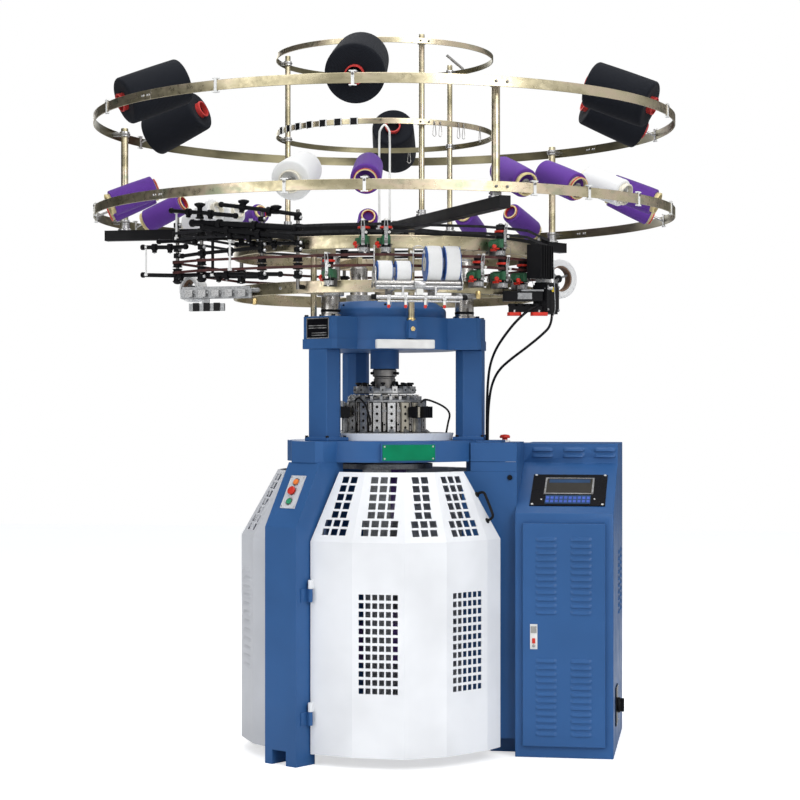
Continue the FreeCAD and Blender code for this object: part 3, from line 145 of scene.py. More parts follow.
# ---------------------------------------------------------------- building pieces
class Maker:
    """Gathers the faces of one piece, in millimetres in the machine's frame."""

    def __init__(self):
        self.mesh = bmesh.new()
        self.wrap = self.mesh.loops.layers.uv.new("wrap")

    def add(self, points, faces, finish=0, place=IDENTITY, wraps=None):
        verts = [self.mesh.verts.new(place @ Vector(point)) for point in points]
        for number, corners in enumerate(faces):
            try:
                face = self.mesh.faces.new([verts[corner] for corner in corners])
            except ValueError:
                continue
            face.material_index = finish
            face.smooth = True
            if wraps:
                for loop, uv in zip(face.loops, wraps[number]):
                    loop[self.wrap].uv = uv

    def block(self, x0, x1, y0, y1, z0, z1, finish=0, place=IDENTITY):
        points = [(x, y, z) for z in (z0, z1) for y in (y0, y1) for x in (x0, x1)]
        faces = [(0, 2, 3, 1), (4, 5, 7, 6), (0, 1, 5, 4), (2, 6, 7, 3), (0, 4, 6, 2), (1, 3, 7, 5)]
        self.add(points, faces, finish, place)

    def flat(self, outline, z0, z1, finish=0, place=IDENTITY):
        """A plate on an outline of x, y."""
        count = len(outline)
        points = [(x, y, z0) for x, y in outline] + [(x, y, z1) for x, y in outline]
        faces = [tuple(range(count))[::-1], tuple(range(count, 2 * count))]
        faces += [(k, (k + 1) % count, count + (k + 1) % count, count + k) for k in range(count)]
        self.add(points, faces, finish, place)

    def turned(self, section, sides=24, finish=0, place=IDENTITY, closed=False):
        """A turned piece about local Z; the section's points are radius and height."""
        count = len(section)
        points, faces, wraps = [], [], []
        run = [0.0]
        for (r0, z0), (r1, z1) in zip(section[:-1], section[1:]):
            run.append(run[-1] + math.hypot(r1 - r0, z1 - z0))
        round_way = 2 * math.pi * max(r for r, _ in section)
        for index in range(sides):
            angle = 2 * math.pi * index / sides
            points += [(r * math.cos(angle), r * math.sin(angle), z) for r, z in section]
        for index in range(sides):
            a, b = index * count, ((index + 1) % sides) * count
            u0, u1 = round_way * index / sides * MM, round_way * (index + 1) / sides * MM
            for k in range(count if closed else count - 1):
                n = (k + 1) % count
                faces.append((a + k, b + k, b + n, a + n))
                v0, v1 = run[k] * MM, (run[n] if n else run[-1]) * MM
                wraps.append(((u0, v0), (u1, v0), (u1, v1), (u0, v1)))
        if not closed:
            for k, flip in ((0, True), (count - 1, False)):
                rim = tuple(index * count + k for index in range(sides))
                faces.append(rim[::-1] if flip else rim)
                wraps.append([(0, 0)] * sides)
        self.add(points, faces, finish, place, wraps)

    def rod(self, start, end, radius, finish=0, sides=12):
        start, end = Vector(start), Vector(end)
        self.turned([(radius, 0), (radius, (end - start).length)], sides, finish, facing(start, end - start))

    def wire(self, points, radius, finish=0, sides=8, steps=5):
        """A bent wire through the points."""
        way = bend(points, steps)
        rows, side = [], None
        for index, point in enumerate(way):
            ahead = way[min(index + 1, len(way) - 1)] - way[max(index - 1, 0)]
            ahead.normalize()
            if side is None:
                side = ahead.orthogonal()
            side = (side - ahead * side.dot(ahead)).normalized()
            other = ahead.cross(side)
            for k in range(sides):
                turn = 2 * math.pi * k / sides
                rows.append(point + (side * math.cos(turn) + other * math.sin(turn)) * radius)
        faces = []
        for index in range(len(way) - 1):
            a = index * sides
            faces += [(a + k, a + (k + 1) % sides, a + sides + (k + 1) % sides,
                       a + sides + k) for k in range(sides)]
        faces += [tuple(range(sides))[::-1], tuple(range(len(rows) - sides, len(rows)))]
        self.add(rows, faces, finish)

    def screw(self, point, direction, radius=6.0, height=4.0, finish=0):
        """A hexagon socket screw head."""
        place = facing(point, direction)
        bore = radius * 0.55
        section = [(bore, height * 0.4), (bore, height), (radius * 0.88, height), (radius, height * 0.8),
                   (radius, -1)]
        self.turned([(0.2, height * 0.4)] + section, 12, finish, place)

    def screw_on(self, place, point, direction, radius=6.0, height=4.0, finish=0):
        """A screw head given in a local frame."""
        self.screw(place @ Vector(point), place.to_3x3() @ Vector(direction), radius, height, finish)

    def piece(self, name, finishes, body="frame", slot=None, replaces=(), edge=0.0, angle=35):
        """Close the gathered faces into an object that rides on a body of the machine."""
        bmesh.ops.recalc_face_normals(self.mesh, faces=self.mesh.faces)
        bmesh.ops.scale(self.mesh, vec=(MM, MM, MM), verts=self.mesh.verts)
        data = bpy.data.meshes.new(name)
        self.mesh.to_mesh(data)
        self.mesh.free()
        return settle(data, name, finishes, body, replaces, edge, angle)


def settle(data, name, finishes, body="frame", replaces=(), edge=0.0, angle=35):
    """Make the object, round its edges, hang it on the empty of the body it rides on and hide the parts it
    stands for.
    """
    for one in [finishes] if isinstance(finishes, str) else finishes:
        data.materials.append(FINISHES[one])
    data.set_sharp_from_angle(angle=math.radians(angle))
    item = bpy.data.objects.new(name, data)
    bpy.context.scene.collection.objects.link(item)
    if edge:
        rounding = item.modifiers.new("edge", "BEVEL")
        rounding.width = edge
        rounding.segments = 2
        rounding.limit_method = "ANGLE"
        rounding.angle_limit = math.radians(angle)
        rounding.use_clamp_overlap = True
        rounding.harden_normals = True
    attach(item, body)
    if replaces:
        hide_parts(*replaces)
    return item


def bend(points, steps=5):
    """A smooth way through the points."""
    points = [Vector(point) for point in points]
    way = []
    for index in range(len(points) - 1):
        p0 = points[max(index - 1, 0)]
        p1, p2 = points[index], points[index + 1]
        p3 = points[min(index + 2, len(points) - 1)]
        for step in range(steps):
            t = step / steps
            way.append(0.5 * (2 * p1 + (p2 - p0) * t + (2 * p0 - 5 * p1 + 4 * p2 - p3) * t ** 2
                              + (3 * p1 - p0 - 3 * p2 + p3) * t ** 3))
    return way + [points[-1]]


def softened(node, finish, body="frame", edge=0.002, angle=30):
    """A copy of a solid node with rounded edges, which stands for it."""
    mesh = bmesh.new()
    mesh.from_mesh(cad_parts[node].data)
    bmesh.ops.remove_doubles(mesh, verts=mesh.verts, dist=1e-5)
    bmesh.ops.dissolve_limit(mesh, angle_limit=math.radians(0.8), verts=mesh.verts, edges=mesh.edges)
    for face in mesh.faces:
        face.smooth = True
        face.material_index = 0
    data = bpy.data.meshes.new(node + "_cast")
    mesh.to_mesh(data)
    mesh.free()
    return settle(data, node + "_cast", finish, body, (node,), edge, angle)


# ---------------------------------------------------------------- repeats
def repeat_tree(name, kind):
    """A tree that sets one item on given points, round a ring or over a grid."""
    tree = bpy.data.node_groups.new(name, "GeometryNodeTree")
    asked = {"ring": (("Count", "Int"), ("Radius", "Float")),
             "grid": (("Columns", "Int"), ("Rows", "Int"), ("Width", "Float"), ("Height", "Float"))}
    sockets = (("Geometry", "Geometry"), ("Item", "Object"), ("Finish", "Material")) + asked.get(kind, ())
    for label, form in sockets:
        tree.interface.new_socket(label, in_out="INPUT", socket_type="NodeSocket" + form)
    tree.interface.new_socket("Geometry", in_out="OUTPUT", socket_type="NodeSocketGeometry")
    new, link = tree.nodes.new, tree.links.new
    given, result = new("NodeGroupInput"), new("NodeGroupOutput")
    info, setter = new("GeometryNodeObjectInfo"), new("GeometryNodeInstanceOnPoints")
    real, dress = new("GeometryNodeRealizeInstances"), new("GeometryNodeSetMaterial")
    link(given.outputs["Item"], info.inputs["Object"])
    link(info.outputs["Geometry"], setter.inputs["Instance"])
    if kind == "points":
        link(given.outputs["Geometry"], setter.inputs["Points"])
        lie = new("GeometryNodeInputNamedAttribute")
        lie.data_type = "FLOAT_VECTOR"
        lie.inputs["Name"].default_value = "lie"
        turn = new("FunctionNodeEulerToRotation")
        link(lie.outputs["Attribute"], turn.inputs[0])
        link(turn.outputs[0], setter.inputs["Rotation"])
    elif kind == "ring":
        circle = new("GeometryNodeMeshCircle")
        link(given.outputs["Count"], circle.inputs["Vertices"])
        link(given.outputs["Radius"], circle.inputs["Radius"])
        link(circle.outputs["Mesh"], setter.inputs["Points"])
        place = new("GeometryNodeInputPosition")
        align = new("FunctionNodeAlignRotationToVector")
        align.axis = "X"
        link(place.outputs[0], align.inputs["Vector"])
        link(align.outputs[0], setter.inputs["Rotation"])
    else:
        grid = new("GeometryNodeMeshGrid")
        for label, size in (("Columns", "Vertices X"), ("Rows", "Vertices Y"), ("Width", "Size X"),
                            ("Height", "Size Y")):
            link(given.outputs[label], grid.inputs[size])
        link(grid.outputs["Mesh"], setter.inputs["Points"])
    link(setter.outputs["Instances"], real.inputs["Geometry"])
    link(real.outputs["Geometry"], dress.inputs["Geometry"])
    link(given.outputs["Finish"], dress.inputs["Material"])
    link(dress.outputs["Geometry"], result.inputs["Geometry"])
    return tree


TREES = {}


def repeat(name, kind, item, finish, body="frame", slot=None, place=IDENTITY, lies=None, **sizes):
    """Repeat a small item made by a Maker; sizes in metres, places in millimetres."""
    if kind not in TREES:
        TREES[kind] = repeat_tree("repeat_" + kind, kind)
    tree = TREES[kind]
    bmesh.ops.recalc_face_normals(item.mesh, faces=item.mesh.faces)
    bmesh.ops.scale(item.mesh, vec=(MM, MM, MM), verts=item.mesh.verts)
    small = bpy.data.meshes.new(name + "_item")
    item.mesh.to_mesh(small)
    item.mesh.free()
    small_item = bpy.data.objects.new(name + "_item", small)
    base = bpy.data.meshes.new(name + "_points")
    if lies:
        base.from_pydata([lie.translation * MM for lie in lies], [], [])
        turns = base.attributes.new("lie", "FLOAT_VECTOR", "POINT")
        turns.data.foreach_set("vector", [v for lie in lies for v in lie.to_euler()])
    holder = bpy.data.objects.new(name + "_holder", base)
    for one in (small_item, holder):
        bpy.context.scene.collection.objects.link(one)
    rule = holder.modifiers.new("repeat", "NODES")
    rule.node_group = tree
    given = {"Item": small_item, "Finish": FINISHES[finish], **sizes}
    for entry in tree.interface.items_tree:
        if entry.in_out == "INPUT" and entry.name in given:
            rule[entry.identifier] = given[entry.name]
    bpy.context.view_layer.update()
    seen = holder.evaluated_get(bpy.context.evaluated_depsgraph_get())
    data = bpy.data.meshes.new_from_object(seen)
    data.name = name
    for one in (holder, small_item):
        bpy.data.objects.remove(one)
    place = place.copy()
    place.translation *= MM
    data.transform(place)
    data.materials.clear()
    for face in data.polygons:
        face.use_smooth = True
    return settle(data, name, finish, body)


# ---------------------------------------------------------------- finishes
FINISHES = {}


class Finish:
    """A node material in the making."""

    def __init__(self, name, colour, rough=0.5, metal=0.0, wrap=False, **sockets):
        self.material = bpy.data.materials.new(name)
        self.material.use_nodes = True
        self.material.diffuse_color = (*colour, 1)
        self.tree = self.material.node_tree
        self.shader = next(n for n in self.tree.nodes if n.type == "BSDF_PRINCIPLED")
        self.shader.inputs["Base Color"].default_value = (*colour, 1)
        self.shader.inputs["Roughness"].default_value = rough
        self.shader.inputs["Metallic"].default_value = metal
        for label, value in sockets.items():
            self.shader.inputs[label.replace("_", " ")].default_value = value
        self.colour = colour
        if wrap:
            source = self.tree.nodes.new("ShaderNodeUVMap")
            source.uv_map = "wrap"
            self.place = source.outputs["UV"]
        else:
            self.place = self.tree.nodes.new("ShaderNodeTexCoord").outputs["Object"]
        FINISHES[name] = self.material

    def mapped(self, stretch=(1, 1, 1), turn=0.0):
        mapping = self.tree.nodes.new("ShaderNodeMapping")
        mapping.inputs["Scale"].default_value = stretch
        mapping.inputs["Rotation"].default_value = (0, 0, turn)
        self.tree.links.new(self.place, mapping.inputs["Vector"])
        return mapping.outputs[0]

    def noise(self, scale, detail=2.0, stretch=(1, 1, 1)):
        texture = self.tree.nodes.new("ShaderNodeTexNoise")
        texture.inputs["Scale"].default_value = scale
        texture.inputs["Detail"].default_value = detail
        self.tree.links.new(self.mapped(stretch), texture.inputs["Vector"])
        return texture.outputs[0]

    def wave(self, period, turn=0.0, axis="X", distort=0.0):
        texture = self.tree.nodes.new("ShaderNodeTexWave")
        texture.bands_direction = axis
        texture.inputs["Scale"].default_value = 0.314 / period
        texture.inputs["Distortion"].default_value = distort
        texture.inputs["Detail Scale"].default_value = 3.0
        self.tree.links.new(self.mapped((1, 1, 1), turn), texture.inputs["Vector"])
        return texture.outputs[1]

    def sums(self, first, second, kind="ADD"):
        math_node = self.tree.nodes.new("ShaderNodeMath")
        math_node.operation = kind
        for socket, value in zip(math_node.inputs, (first, second)):
            self.tree.links.new(value, socket)
        return math_node.outputs[0]

    def ramp(self, source, stops):
        node = self.tree.nodes.new("ShaderNodeValToRGB")
        while len(node.color_ramp.elements) < len(stops):
            node.color_ramp.elements.new(0.5)
        for element, (spot, colour) in zip(node.color_ramp.elements, stops):
            element.position = spot
            element.color = (*colour, 1) if isinstance(colour, tuple) else (colour, colour, colour, 1)
        self.tree.links.new(source, node.inputs[0])
        return node.outputs[0]

    def coloured(self, source, stops):
        self.tree.links.new(self.ramp(source, stops), self.shader.inputs["Base Color"])
        return self

    def shades(self, source, low, high, spread=(0.35, 0.65)):
        """Vary the colour from low to high times its own value."""
        dark = tuple(c * low for c in self.colour)
        light = tuple(min(1.0, c * high) for c in self.colour)
        return self.coloured(source, ((spread[0], dark), (spread[1], light)))

    def gloss(self, source, low, high):
        value = self.ramp(source, ((0.3, low), (0.7, high)))
        self.tree.links.new(value, self.shader.inputs["Roughness"])
        return self

    def relief(self, source, depth, strength=1.0):
        bump = self.tree.nodes.new("ShaderNodeBump")
        bump.inputs["Distance"].default_value = depth
        bump.inputs["Strength"].default_value = strength
        self.tree.links.new(source, bump.inputs["Height"])
        self.tree.links.new(bump.outputs[0], self.shader.inputs["Normal"])
        return self


def paint(name, colour, rough=0.35, peel=0.00006, specular=0.5):
    """Sprayed enamel or powder coat: fine orange peel, a few dull patches."""
    made = Finish(name, colour, rough, Specular_IOR_Level=specular)
    made.shades(made.noise(3.0, 3.0), 0.93, 1.06)
    made.gloss(made.noise(9.0, 2.0), rough * 0.85, rough * 1.25)
    return made.relief(made.noise(420.0, 1.0), peel)


def metal(name, colour, rough=0.3, stretch=(1, 1, 14), depth=0.00003, low=0.82, high=1.1):
    made = Finish(name, colour, rough, 1.0)
    grain = made.noise(260.0, 3.0, stretch)
    made.shades(grain, low, high)
    made.gloss(made.noise(40.0, 2.0), rough * 0.7, rough * 1.4)
    return made.relief(grain, depth)


def plastic(name, colour, rough=0.42, grain=900.0, depth=0.00004, specular=0.35):
    made = Finish(name, colour, rough, Specular_IOR_Level=specular)
    made.shades(made.noise(14.0, 2.0), 0.9, 1.1)
    return made.relief(made.noise(grain, 2.0), depth)


def yarn(name, colour, pitch, sheen=0.4, low=0.62, high=1.25):
    """Wound yarn: threads that cross at a shallow angle, with soft fibre."""
    made = Finish(name, colour, 0.85, wrap=True, Sheen_Weight=sheen, Sheen_Roughness=0.4,
                  Specular_IOR_Level=0.15)
    one = made.wave(pitch, 0.10, "Y", 0.6)
    two = made.wave(pitch * 1.25, -0.13, "Y", 0.6)
    threads = made.sums(made.sums(one, two), made.noise(1400.0, 2.0), "MULTIPLY")
    made.shades(threads, low, high, (0.15, 0.95))
    return made.relief(threads, 0.0006, 0.7)


def make_finishes(colours, sizes):
    paint("casting_blue", tuple(colours.casting), 0.36, specular=0.25)
    paint("guard_white", tuple(colours.guard), 0.38, specular=0.35)
    paint("guard_grey", tuple(colours.side_guard), 0.4, specular=0.35)
    paint("tray_white", (0.93, 0.94, 0.95), 0.3)
    paint("satin_black", (0.005, 0.005, 0.006), 0.4, 0.00012, 0.12)
    paint("panel_black", (0.004, 0.004, 0.006), 0.25, specular=0.12)
    zinc = Finish("yellow_zinc", tuple(colours.creel), 0.3, 1.0)
    zinc.coloured(zinc.noise(5.0, 4.0, (1, 1, 2.5)), (
        (0.28, (0.30, 0.27, 0.17)), (0.42, (0.42, 0.37, 0.24)), (0.50, (0.56, 0.50, 0.34)),
        (0.58, (0.60, 0.50, 0.37)), (0.70, (0.36, 0.38, 0.26))))
    zinc.gloss(zinc.noise(60.0, 2.0), 0.24, 0.42)
    zinc.relief(zinc.noise(500.0, 2.0, (1, 1, 0.15)), 0.00003)
    # a darker copy of the yellow zinc, for the inward faces of the creel bands and the joint plates behind
    # them
    zinc = Finish("zinc_dark_inward", (0.20, 0.18, 0.11), 0.4, 1.0)
    zinc.shades(zinc.noise(5.0, 4.0, (1, 1, 2.5)), 0.6, 1.4)
    zinc.relief(zinc.noise(500.0, 2.0, (1, 1, 0.15)), 0.00003)
    metal("bright_steel", (0.50, 0.485, 0.465), 0.25, low=0.6)
    metal("white_zinc", (0.60, 0.60, 0.60), 0.34, (1, 1, 1), low=0.6)
    metal("dull_steel", (0.27, 0.26, 0.25), 0.42, low=0.6)
    metal("brass", (0.72, 0.55, 0.26), 0.28)
    cast = Finish("cast_grey", (0.31, 0.315, 0.32), 0.4, 0.75)
    cast.shades(cast.noise(120.0, 4.0), 0.75, 1.15)
    cast.relief(cast.noise(700.0, 3.0), 0.0001)
    band = Finish("belt_black", (0.014, 0.014, 0.016), 0.6, Specular_IOR_Level=0.2)
    band.shades(band.noise(60.0, 2.0), 0.7, 1.5)
    band.relief(band.noise(800.0, 2.0), 0.0001)
    band = Finish("belt_brown", (0.062, 0.020, 0.018), 0.5, Specular_IOR_Level=0.25)
    band.shades(band.noise(40.0, 3.0), 0.7, 1.4)
    band.relief(band.noise(800.0, 2.0), 0.0001)
    pitch = sizes.yarn
    yarn("yarn_black", tuple(colours.package), pitch, 0.04, 0.4, 2.6)
    yarn("yarn_purple", tuple(colours.cone), pitch * 0.8, 0.15)
    yarn("yarn_white", tuple(colours.bare_yarn), pitch * 0.8, 0.1, 0.84, 1.1)
    plastic("tube_red", (0.55, 0.045, 0.04), 0.45, 300.0)
    plastic("tube_yellow", (0.72, 0.60, 0.30), 0.6, 300.0, 0.0001)
    plastic("tube_cream", (0.78, 0.74, 0.62), 0.6, 300.0, 0.0001)
    # near black, for the inside of hollows: painted shade
    plastic("painted_hollow_shade", (0.015, 0.013, 0.012), 0.8, specular=0.1)
    plastic("tube_brown", (0.20, 0.12, 0.075), 0.7, 300.0, 0.0001)
    plastic("black_plastic", (0.006, 0.006, 0.007), 0.4, specular=0.13)
    plastic("feeder_green", tuple(colours.feeder), 0.4)
    plastic("signal_red", (0.62, 0.03, 0.015), 0.38)
    plastic("signal_orange", (0.85, 0.22, 0.04), 0.4)
    plastic("button_green", (0.03, 0.30, 0.14), 0.38)
    plastic("light_plastic", (0.80, 0.80, 0.78), 0.42)
    plastic("bobbin_blue", (0.02, 0.12, 0.42), 0.4)
    plastic("plate_green", (0.002, 0.20, 0.09), 0.35, specular=0.1)
    plastic("screen_blue", (0.03, 0.07, 0.15), 0.3, specular=0.1)
    plastic("plate_beige", (0.50, 0.46, 0.37), 0.4)
    plastic("ceramic_white", (0.86, 0.85, 0.80), 0.15)
    plastic("key_blue", (0.07, 0.13, 0.52), 0.4, specular=0.15)
    plastic("fin_black", (0.006, 0.006, 0.007), 0.35, specular=0.12)
    plastic("label_yellow", (0.85, 0.62, 0.03), 0.4)
    screen = Finish("screen_glass", (0.040, 0.036, 0.030), 0.12, Specular_IOR_Level=0.2)
    screen.shades(screen.noise(20.0, 1.0), 0.92, 1.06)
    rubber = Finish("cable_black", (0.006, 0.006, 0.007), 0.45, Specular_IOR_Level=0.13)
    rubber.shades(rubber.noise(200.0, 2.0), 0.8, 1.3)
    rubber.relief(rubber.noise(1500.0, 2.0), 0.00005)
    knit = Finish("knitted_purple", (0.13, 0.05, 0.30), 0.9, wrap=True, Sheen_Weight=0.5)
    wales = knit.wave(0.0035, 0.0, "X", 0.3)
    rows = knit.wave(0.0028, 0.0, "Y", 0.8)
    loops = knit.sums(wales, rows, "MULTIPLY")
    knit.shades(loops, 0.55, 1.3, (0.1, 0.8))
    knit.relief(loops, 0.0006, 0.8)


# ---------------------------------------------------------------- stage
def make_stage():
    scene = bpy.context.scene
    scene.view_settings.view_transform = "Standard"
    camera = bpy.data.cameras.new("photo_camera")
    camera.lens = 88.2
    camera.sensor_width = 36.0
    camera.shift_y = 0.01
    camera.clip_end = 100.0
    eye = bpy.data.objects.new("photo_camera", camera)
    scene.collection.objects.link(eye)
    spot = Matrix.Translation(front(61.5, -7840, 1345) * MM)
    eye.matrix_world = spot @ FACING @ Matrix.Rotation(math.pi / 2, 4, "X")
    scene.camera = eye
    world = bpy.data.worlds.new("studio_air")
    scene.world = world
    world.use_nodes = True
    tree = world.node_tree
    tree.nodes.clear()
    new, link = tree.nodes.new, tree.links.new
    path, plain, shown = new("ShaderNodeLightPath"), new("ShaderNodeBackground"), new("ShaderNodeBackground")
    plain.inputs["Color"].default_value = (0.93, 0.96, 1.0, 1)
    plain.inputs["Strength"].default_value = 0.52
    shown.inputs["Color"].default_value = (1, 1, 1, 1)
    shown.inputs["Strength"].default_value = 1.0
    through = new("ShaderNodeMath")
    through.operation = "MAXIMUM"
    link(path.outputs["Is Camera Ray"], through.inputs[0])
    link(path.outputs["Is Transmission Ray"], through.inputs[1])
    mirrored = mirrored_studio(new, link)
    shine, mix, out = new("ShaderNodeMixShader"), new("ShaderNodeMixShader"), new("ShaderNodeOutputWorld")
    link(path.outputs["Is Glossy Ray"], shine.inputs[0])
    link(plain.outputs[0], shine.inputs[1])
    link(mirrored.outputs[0], shine.inputs[2])
    link(through.outputs[0], mix.inputs[0])
    link(shine.outputs[0], mix.inputs[1])
    link(shown.outputs[0], mix.inputs[2])
    link(mix.outputs[0], out.inputs["Surface"])
    make_floor()
    for name, spot, size, power in (
        ("key_panel", (3200, -5200, 4300), 3.2, 172),
        ("fill_panel", (-4200, -4600, 3000), 3.4, 82),
        ("top_panel", (0, -600, 5600), 3.6, 110),
        ("back_panel", (-1500, 4800, 3600), 3.0, 80),
    ):
        lamp = bpy.data.lights.new(name, "AREA")
        lamp.shape = "SQUARE"
        lamp.size = size
        lamp.energy = power
        holder = bpy.data.objects.new(name, lamp)
        scene.collection.objects.link(holder)
        spot = front(*spot) * MM
        aim = Vector((0, 0, 1.3)) - spot
        holder.matrix_world = Matrix.Translation(spot) @ aim.to_track_quat("-Z", "Y").to_matrix().to_4x4()


def mirrored_studio(new, link):
    """What shiny faces mirror: white walls in front, a dim one far to the left and behind."""
    kinds = ("TexCoord", "VectorRotate", "SeparateXYZ")
    where, turn, parts = (new("ShaderNode" + kind) for kind in kinds)
    turn.rotation_type = "Z_AXIS"
    turn.inputs["Angle"].default_value = -math.radians(9)
    link(where.outputs["Generated"], turn.inputs["Vector"])
    link(turn.outputs[0], parts.inputs[0])
    ramps = []
    for axis, start, end, first, last in (("X", -0.9, -0.3, 0.15, 1.0), ("Y", 0.2, 0.8, 1.0, 0.1)):
        ramp = new("ShaderNodeMapRange")
        ramp.interpolation_type = "SMOOTHSTEP"
        for spot, value in zip(("From Min", "From Max", "To Min", "To Max"), (start, end, first, last)):
            ramp.inputs[spot].default_value = value
        link(parts.outputs[axis], ramp.inputs["Value"])
        ramps.append(ramp)
    power, glow = new("ShaderNodeMath"), new("ShaderNodeBackground")
    power.operation = "MULTIPLY"
    for ramp, spot in zip(ramps, power.inputs):
        link(ramp.outputs["Result"], spot)
    link(power.outputs[0], glow.inputs["Strength"])
    return glow


def make_floor():
    made = Finish("floor_pale", (0.84, 0.84, 0.84), 0.9)
    tree = made.tree
    new, link = tree.nodes.new, tree.links.new
    made.shades(made.noise(0.7, 2.0), 0.995, 1.005)
    kinds = ("LightPath", "Emission", "AddShader", "MixShader")
    path, glow, add, mix = (new("ShaderNode" + kind) for kind in kinds)
    glow.inputs["Strength"].default_value = 0.56
    out = next(n for n in tree.nodes if n.type == "OUTPUT_MATERIAL")
    link(made.shader.outputs[0], add.inputs[0])
    link(glow.outputs[0], add.inputs[1])
    link(path.outputs["Is Camera Ray"], mix.inputs[0])
    link(made.shader.outputs[0], mix.inputs[1])
    link(add.outputs[0], mix.inputs[2])
    link(mix.outputs[0], out.inputs["Surface"])
    data = bpy.data.meshes.new("studio_floor")
    reach = 14.0
    data.from_pydata([(-reach, -reach, 0), (reach, -reach, 0), (reach, reach, 0), (-reach, reach, 0)], [],
                     [(0, 1, 2, 3)])
    data.materials.append(made.material)
    floor = bpy.data.objects.new("studio_floor", data)
    bpy.context.scene.collection.objects.link(floor)


# ---------------------------------------------------------------- cables
CABLE_ROUTES = (
    ((592, -416, 1735), (558, -443, 1724), (505, -436, 1679), (463, -385, 1626), (428, -310, 1570),
     (410, -226, 1510), (405, -158, 1437), (404, -117, 1357), (404, -103, 1286), (404, -101, 1218)),
    ((640, -380, 1703), (638, -386, 1660), (600, -400, 1622), (545, -395, 1577), (485, -350, 1532),
     (440, -275, 1490), (417, -195, 1432), (409, -142, 1352), (407, -124, 1280), (407, -121, 1218)),
)


def make_cables():
    for number, (route, whole) in enumerate(zip(CABLE_ROUTES, (0.728, 0.682)), start=1):
        curve = bpy.data.curves.new("motor_cable_%d" % number, "CURVE")
        curve.dimensions = "3D"
        curve.bevel_depth = 0.005
        curve.bevel_resolution = 3
        curve.resolution_u = 8
        spline = curve.splines.new("NURBS")
        spline.points.add(len(route) - 1)
        for point, spot in zip(spline.points, route):
            point.co = (*(front(*spot) * MM), 1.0)
        spline.order_u = 3
        spline.use_endpoint_u = True
        curve.use_fill_caps = True
        curve.materials.append(FINISHES["cable_black"])
        item = bpy.data.objects.new("motor_cable_%d" % number, curve)
        bpy.context.scene.collection.objects.link(item)
        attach(item, "frame")
    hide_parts("motor_cables")


# ---------------------------------------------------------------- castings
def make_castings(sizes):
    """Legs, table, columns, crown: enamelled castings with rounded edges."""
    for node in ("left_leg", "rear_leg", "right_leg", "crown"):
        softened(node, "casting_blue", edge=sizes.edge)
    softened("columns", "casting_blue", edge=sizes.edge * 1.5)
    softened("bed_ring", "casting_blue", edge=sizes.edge * 1.4)
    lamp = softened("lamp_bar", "light_plastic", edge=0.004)
    lamp.name = "lamp_bar_cover"
    tray = Maker()
    tray.turned([(240, 1218), (269, 1218), (276, 1246), (272.5, 1246.5), (266, 1223), (240, 1222)], 96,
                closed=True)
    tray.piece("lint_tray_rim", "tray_white", slot="white_paint", replaces=("lint_tray",), edge=0.0006)
    cover = Maker()
    cover.turned([(246, 1698.2), (246, 1728), (242, 1737), (206, 1763), (60, 1763.5)], sizes.round_sides)
    cover.piece("gear_cover_shell", "casting_blue", slot="blue_paint", replaces=("gear_cover",), edge=0.002)
    bolts = Maker()
    for angle in LEG_ANGLES:
        turn = radial(angle)
        for side in (-1, 1):
            for reach, y, z, size in ((401, 53.5, 1232, 6.5), (300, 53.5, 1232, 6.5), (384, 70, 1698, 8)):
                bolts.screw_on(turn, (reach, side * y, z), UP, size, 7)
    for angle in range(0, 360, 45):
        bolts.screw(polar(228, angle + 10, 1746), polar(1, angle + 10, 1), 5, 4)
    bolts.piece("casting_bolts", "black_plastic", slot="black_paint")
    bosses = Maker()
    for angle in ARM_ANGLES:
        turn = radial(angle)
        bosses.screw_on(turn, (309.5, 0, 1650), (1, 0, 0), 9, 5)
        bosses.turned([(17, 0), (17, 8), (12.6, 12)], 20, 0, turn @ at(293.5, 0, 1681))
    bosses.piece("boss_screws", "brass", slot="zinc")
    make_name_plates()


def make_name_plates():
    """Bare plates: a green one on the table, a black one with a steel rim on the crown."""
    plates = Maker()
    turn = radial(-67.0)
    plates.block(392, 395, -103, 103, 1145, 1205, 0, turn)
    for y in (-95, 95):
        for z in (1152, 1198):
            plates.screw_on(turn, (395, y, z), (1, 0, 0), 3.4, 1.6, 1)
    turn = radial(LEFT_LEG)
    plates.block(396, 397.6, -58, 58, 1612, 1692, 1, turn)
    plates.block(397.6, 398, -54, 54, 1616, 1688, 2, turn)
    for z in (1623, 1632, 1651, 1660):
        plates.block(398, 398.15, -46 if z > 1640 else -30, 46, z, z + 3.5, 1, turn)
    foot = at(740, -163, 940 + 37 * math.tan(CONSOLE_SLOPE)) @ Matrix.Rotation(CONSOLE_SLOPE, 4, "X")
    plates.block(-146, 146, 12, 253, 0, 4, 3, foot)
    plates.piece("bare_plates", ("plate_green", "white_zinc", "panel_black", "panel_black"),
                 slot="black_plastic", replaces=("blank_plates",), edge=0.0008)
    make_display(foot)


def make_display(foot):
    """Display with its silver frame, a row of blue keys and the panel's corner screws."""
    face = Maker()
    face.block(-96, 96, 95, 221, 4, 8, 0, foot)
    face.block(-89, 89, 102, 214, 8, 8.6, 1, foot)
    face.block(-80, 80, 180, 206, 8.6, 8.9, 4, foot)
    face.block(-88, 88, 24, 87, 4, 6, 4, foot)
    for column in range(10):
        for row in range(2):
            x = -79 + 17.6 * column
            face.block(x - 6, x + 6, 32 + 26 * row, 50 + 26 * row, 6, 7, 5, foot)
    for x, y, size in ((-136, 20, 5), (136, 20, 5), (-136, 246, 5), (136, 246, 5), (-103, 56, 3.2),
                       (103, 60, 3.2)):
        face.screw_on(foot, (x, y, 4), UP, size, 2.5, 3)
    face.piece("console_display", ("white_zinc", "screen_glass", "dull_steel", "light_plastic", "screen_blue",
                                   "key_blue"), slot="black_plastic", edge=0.0006)


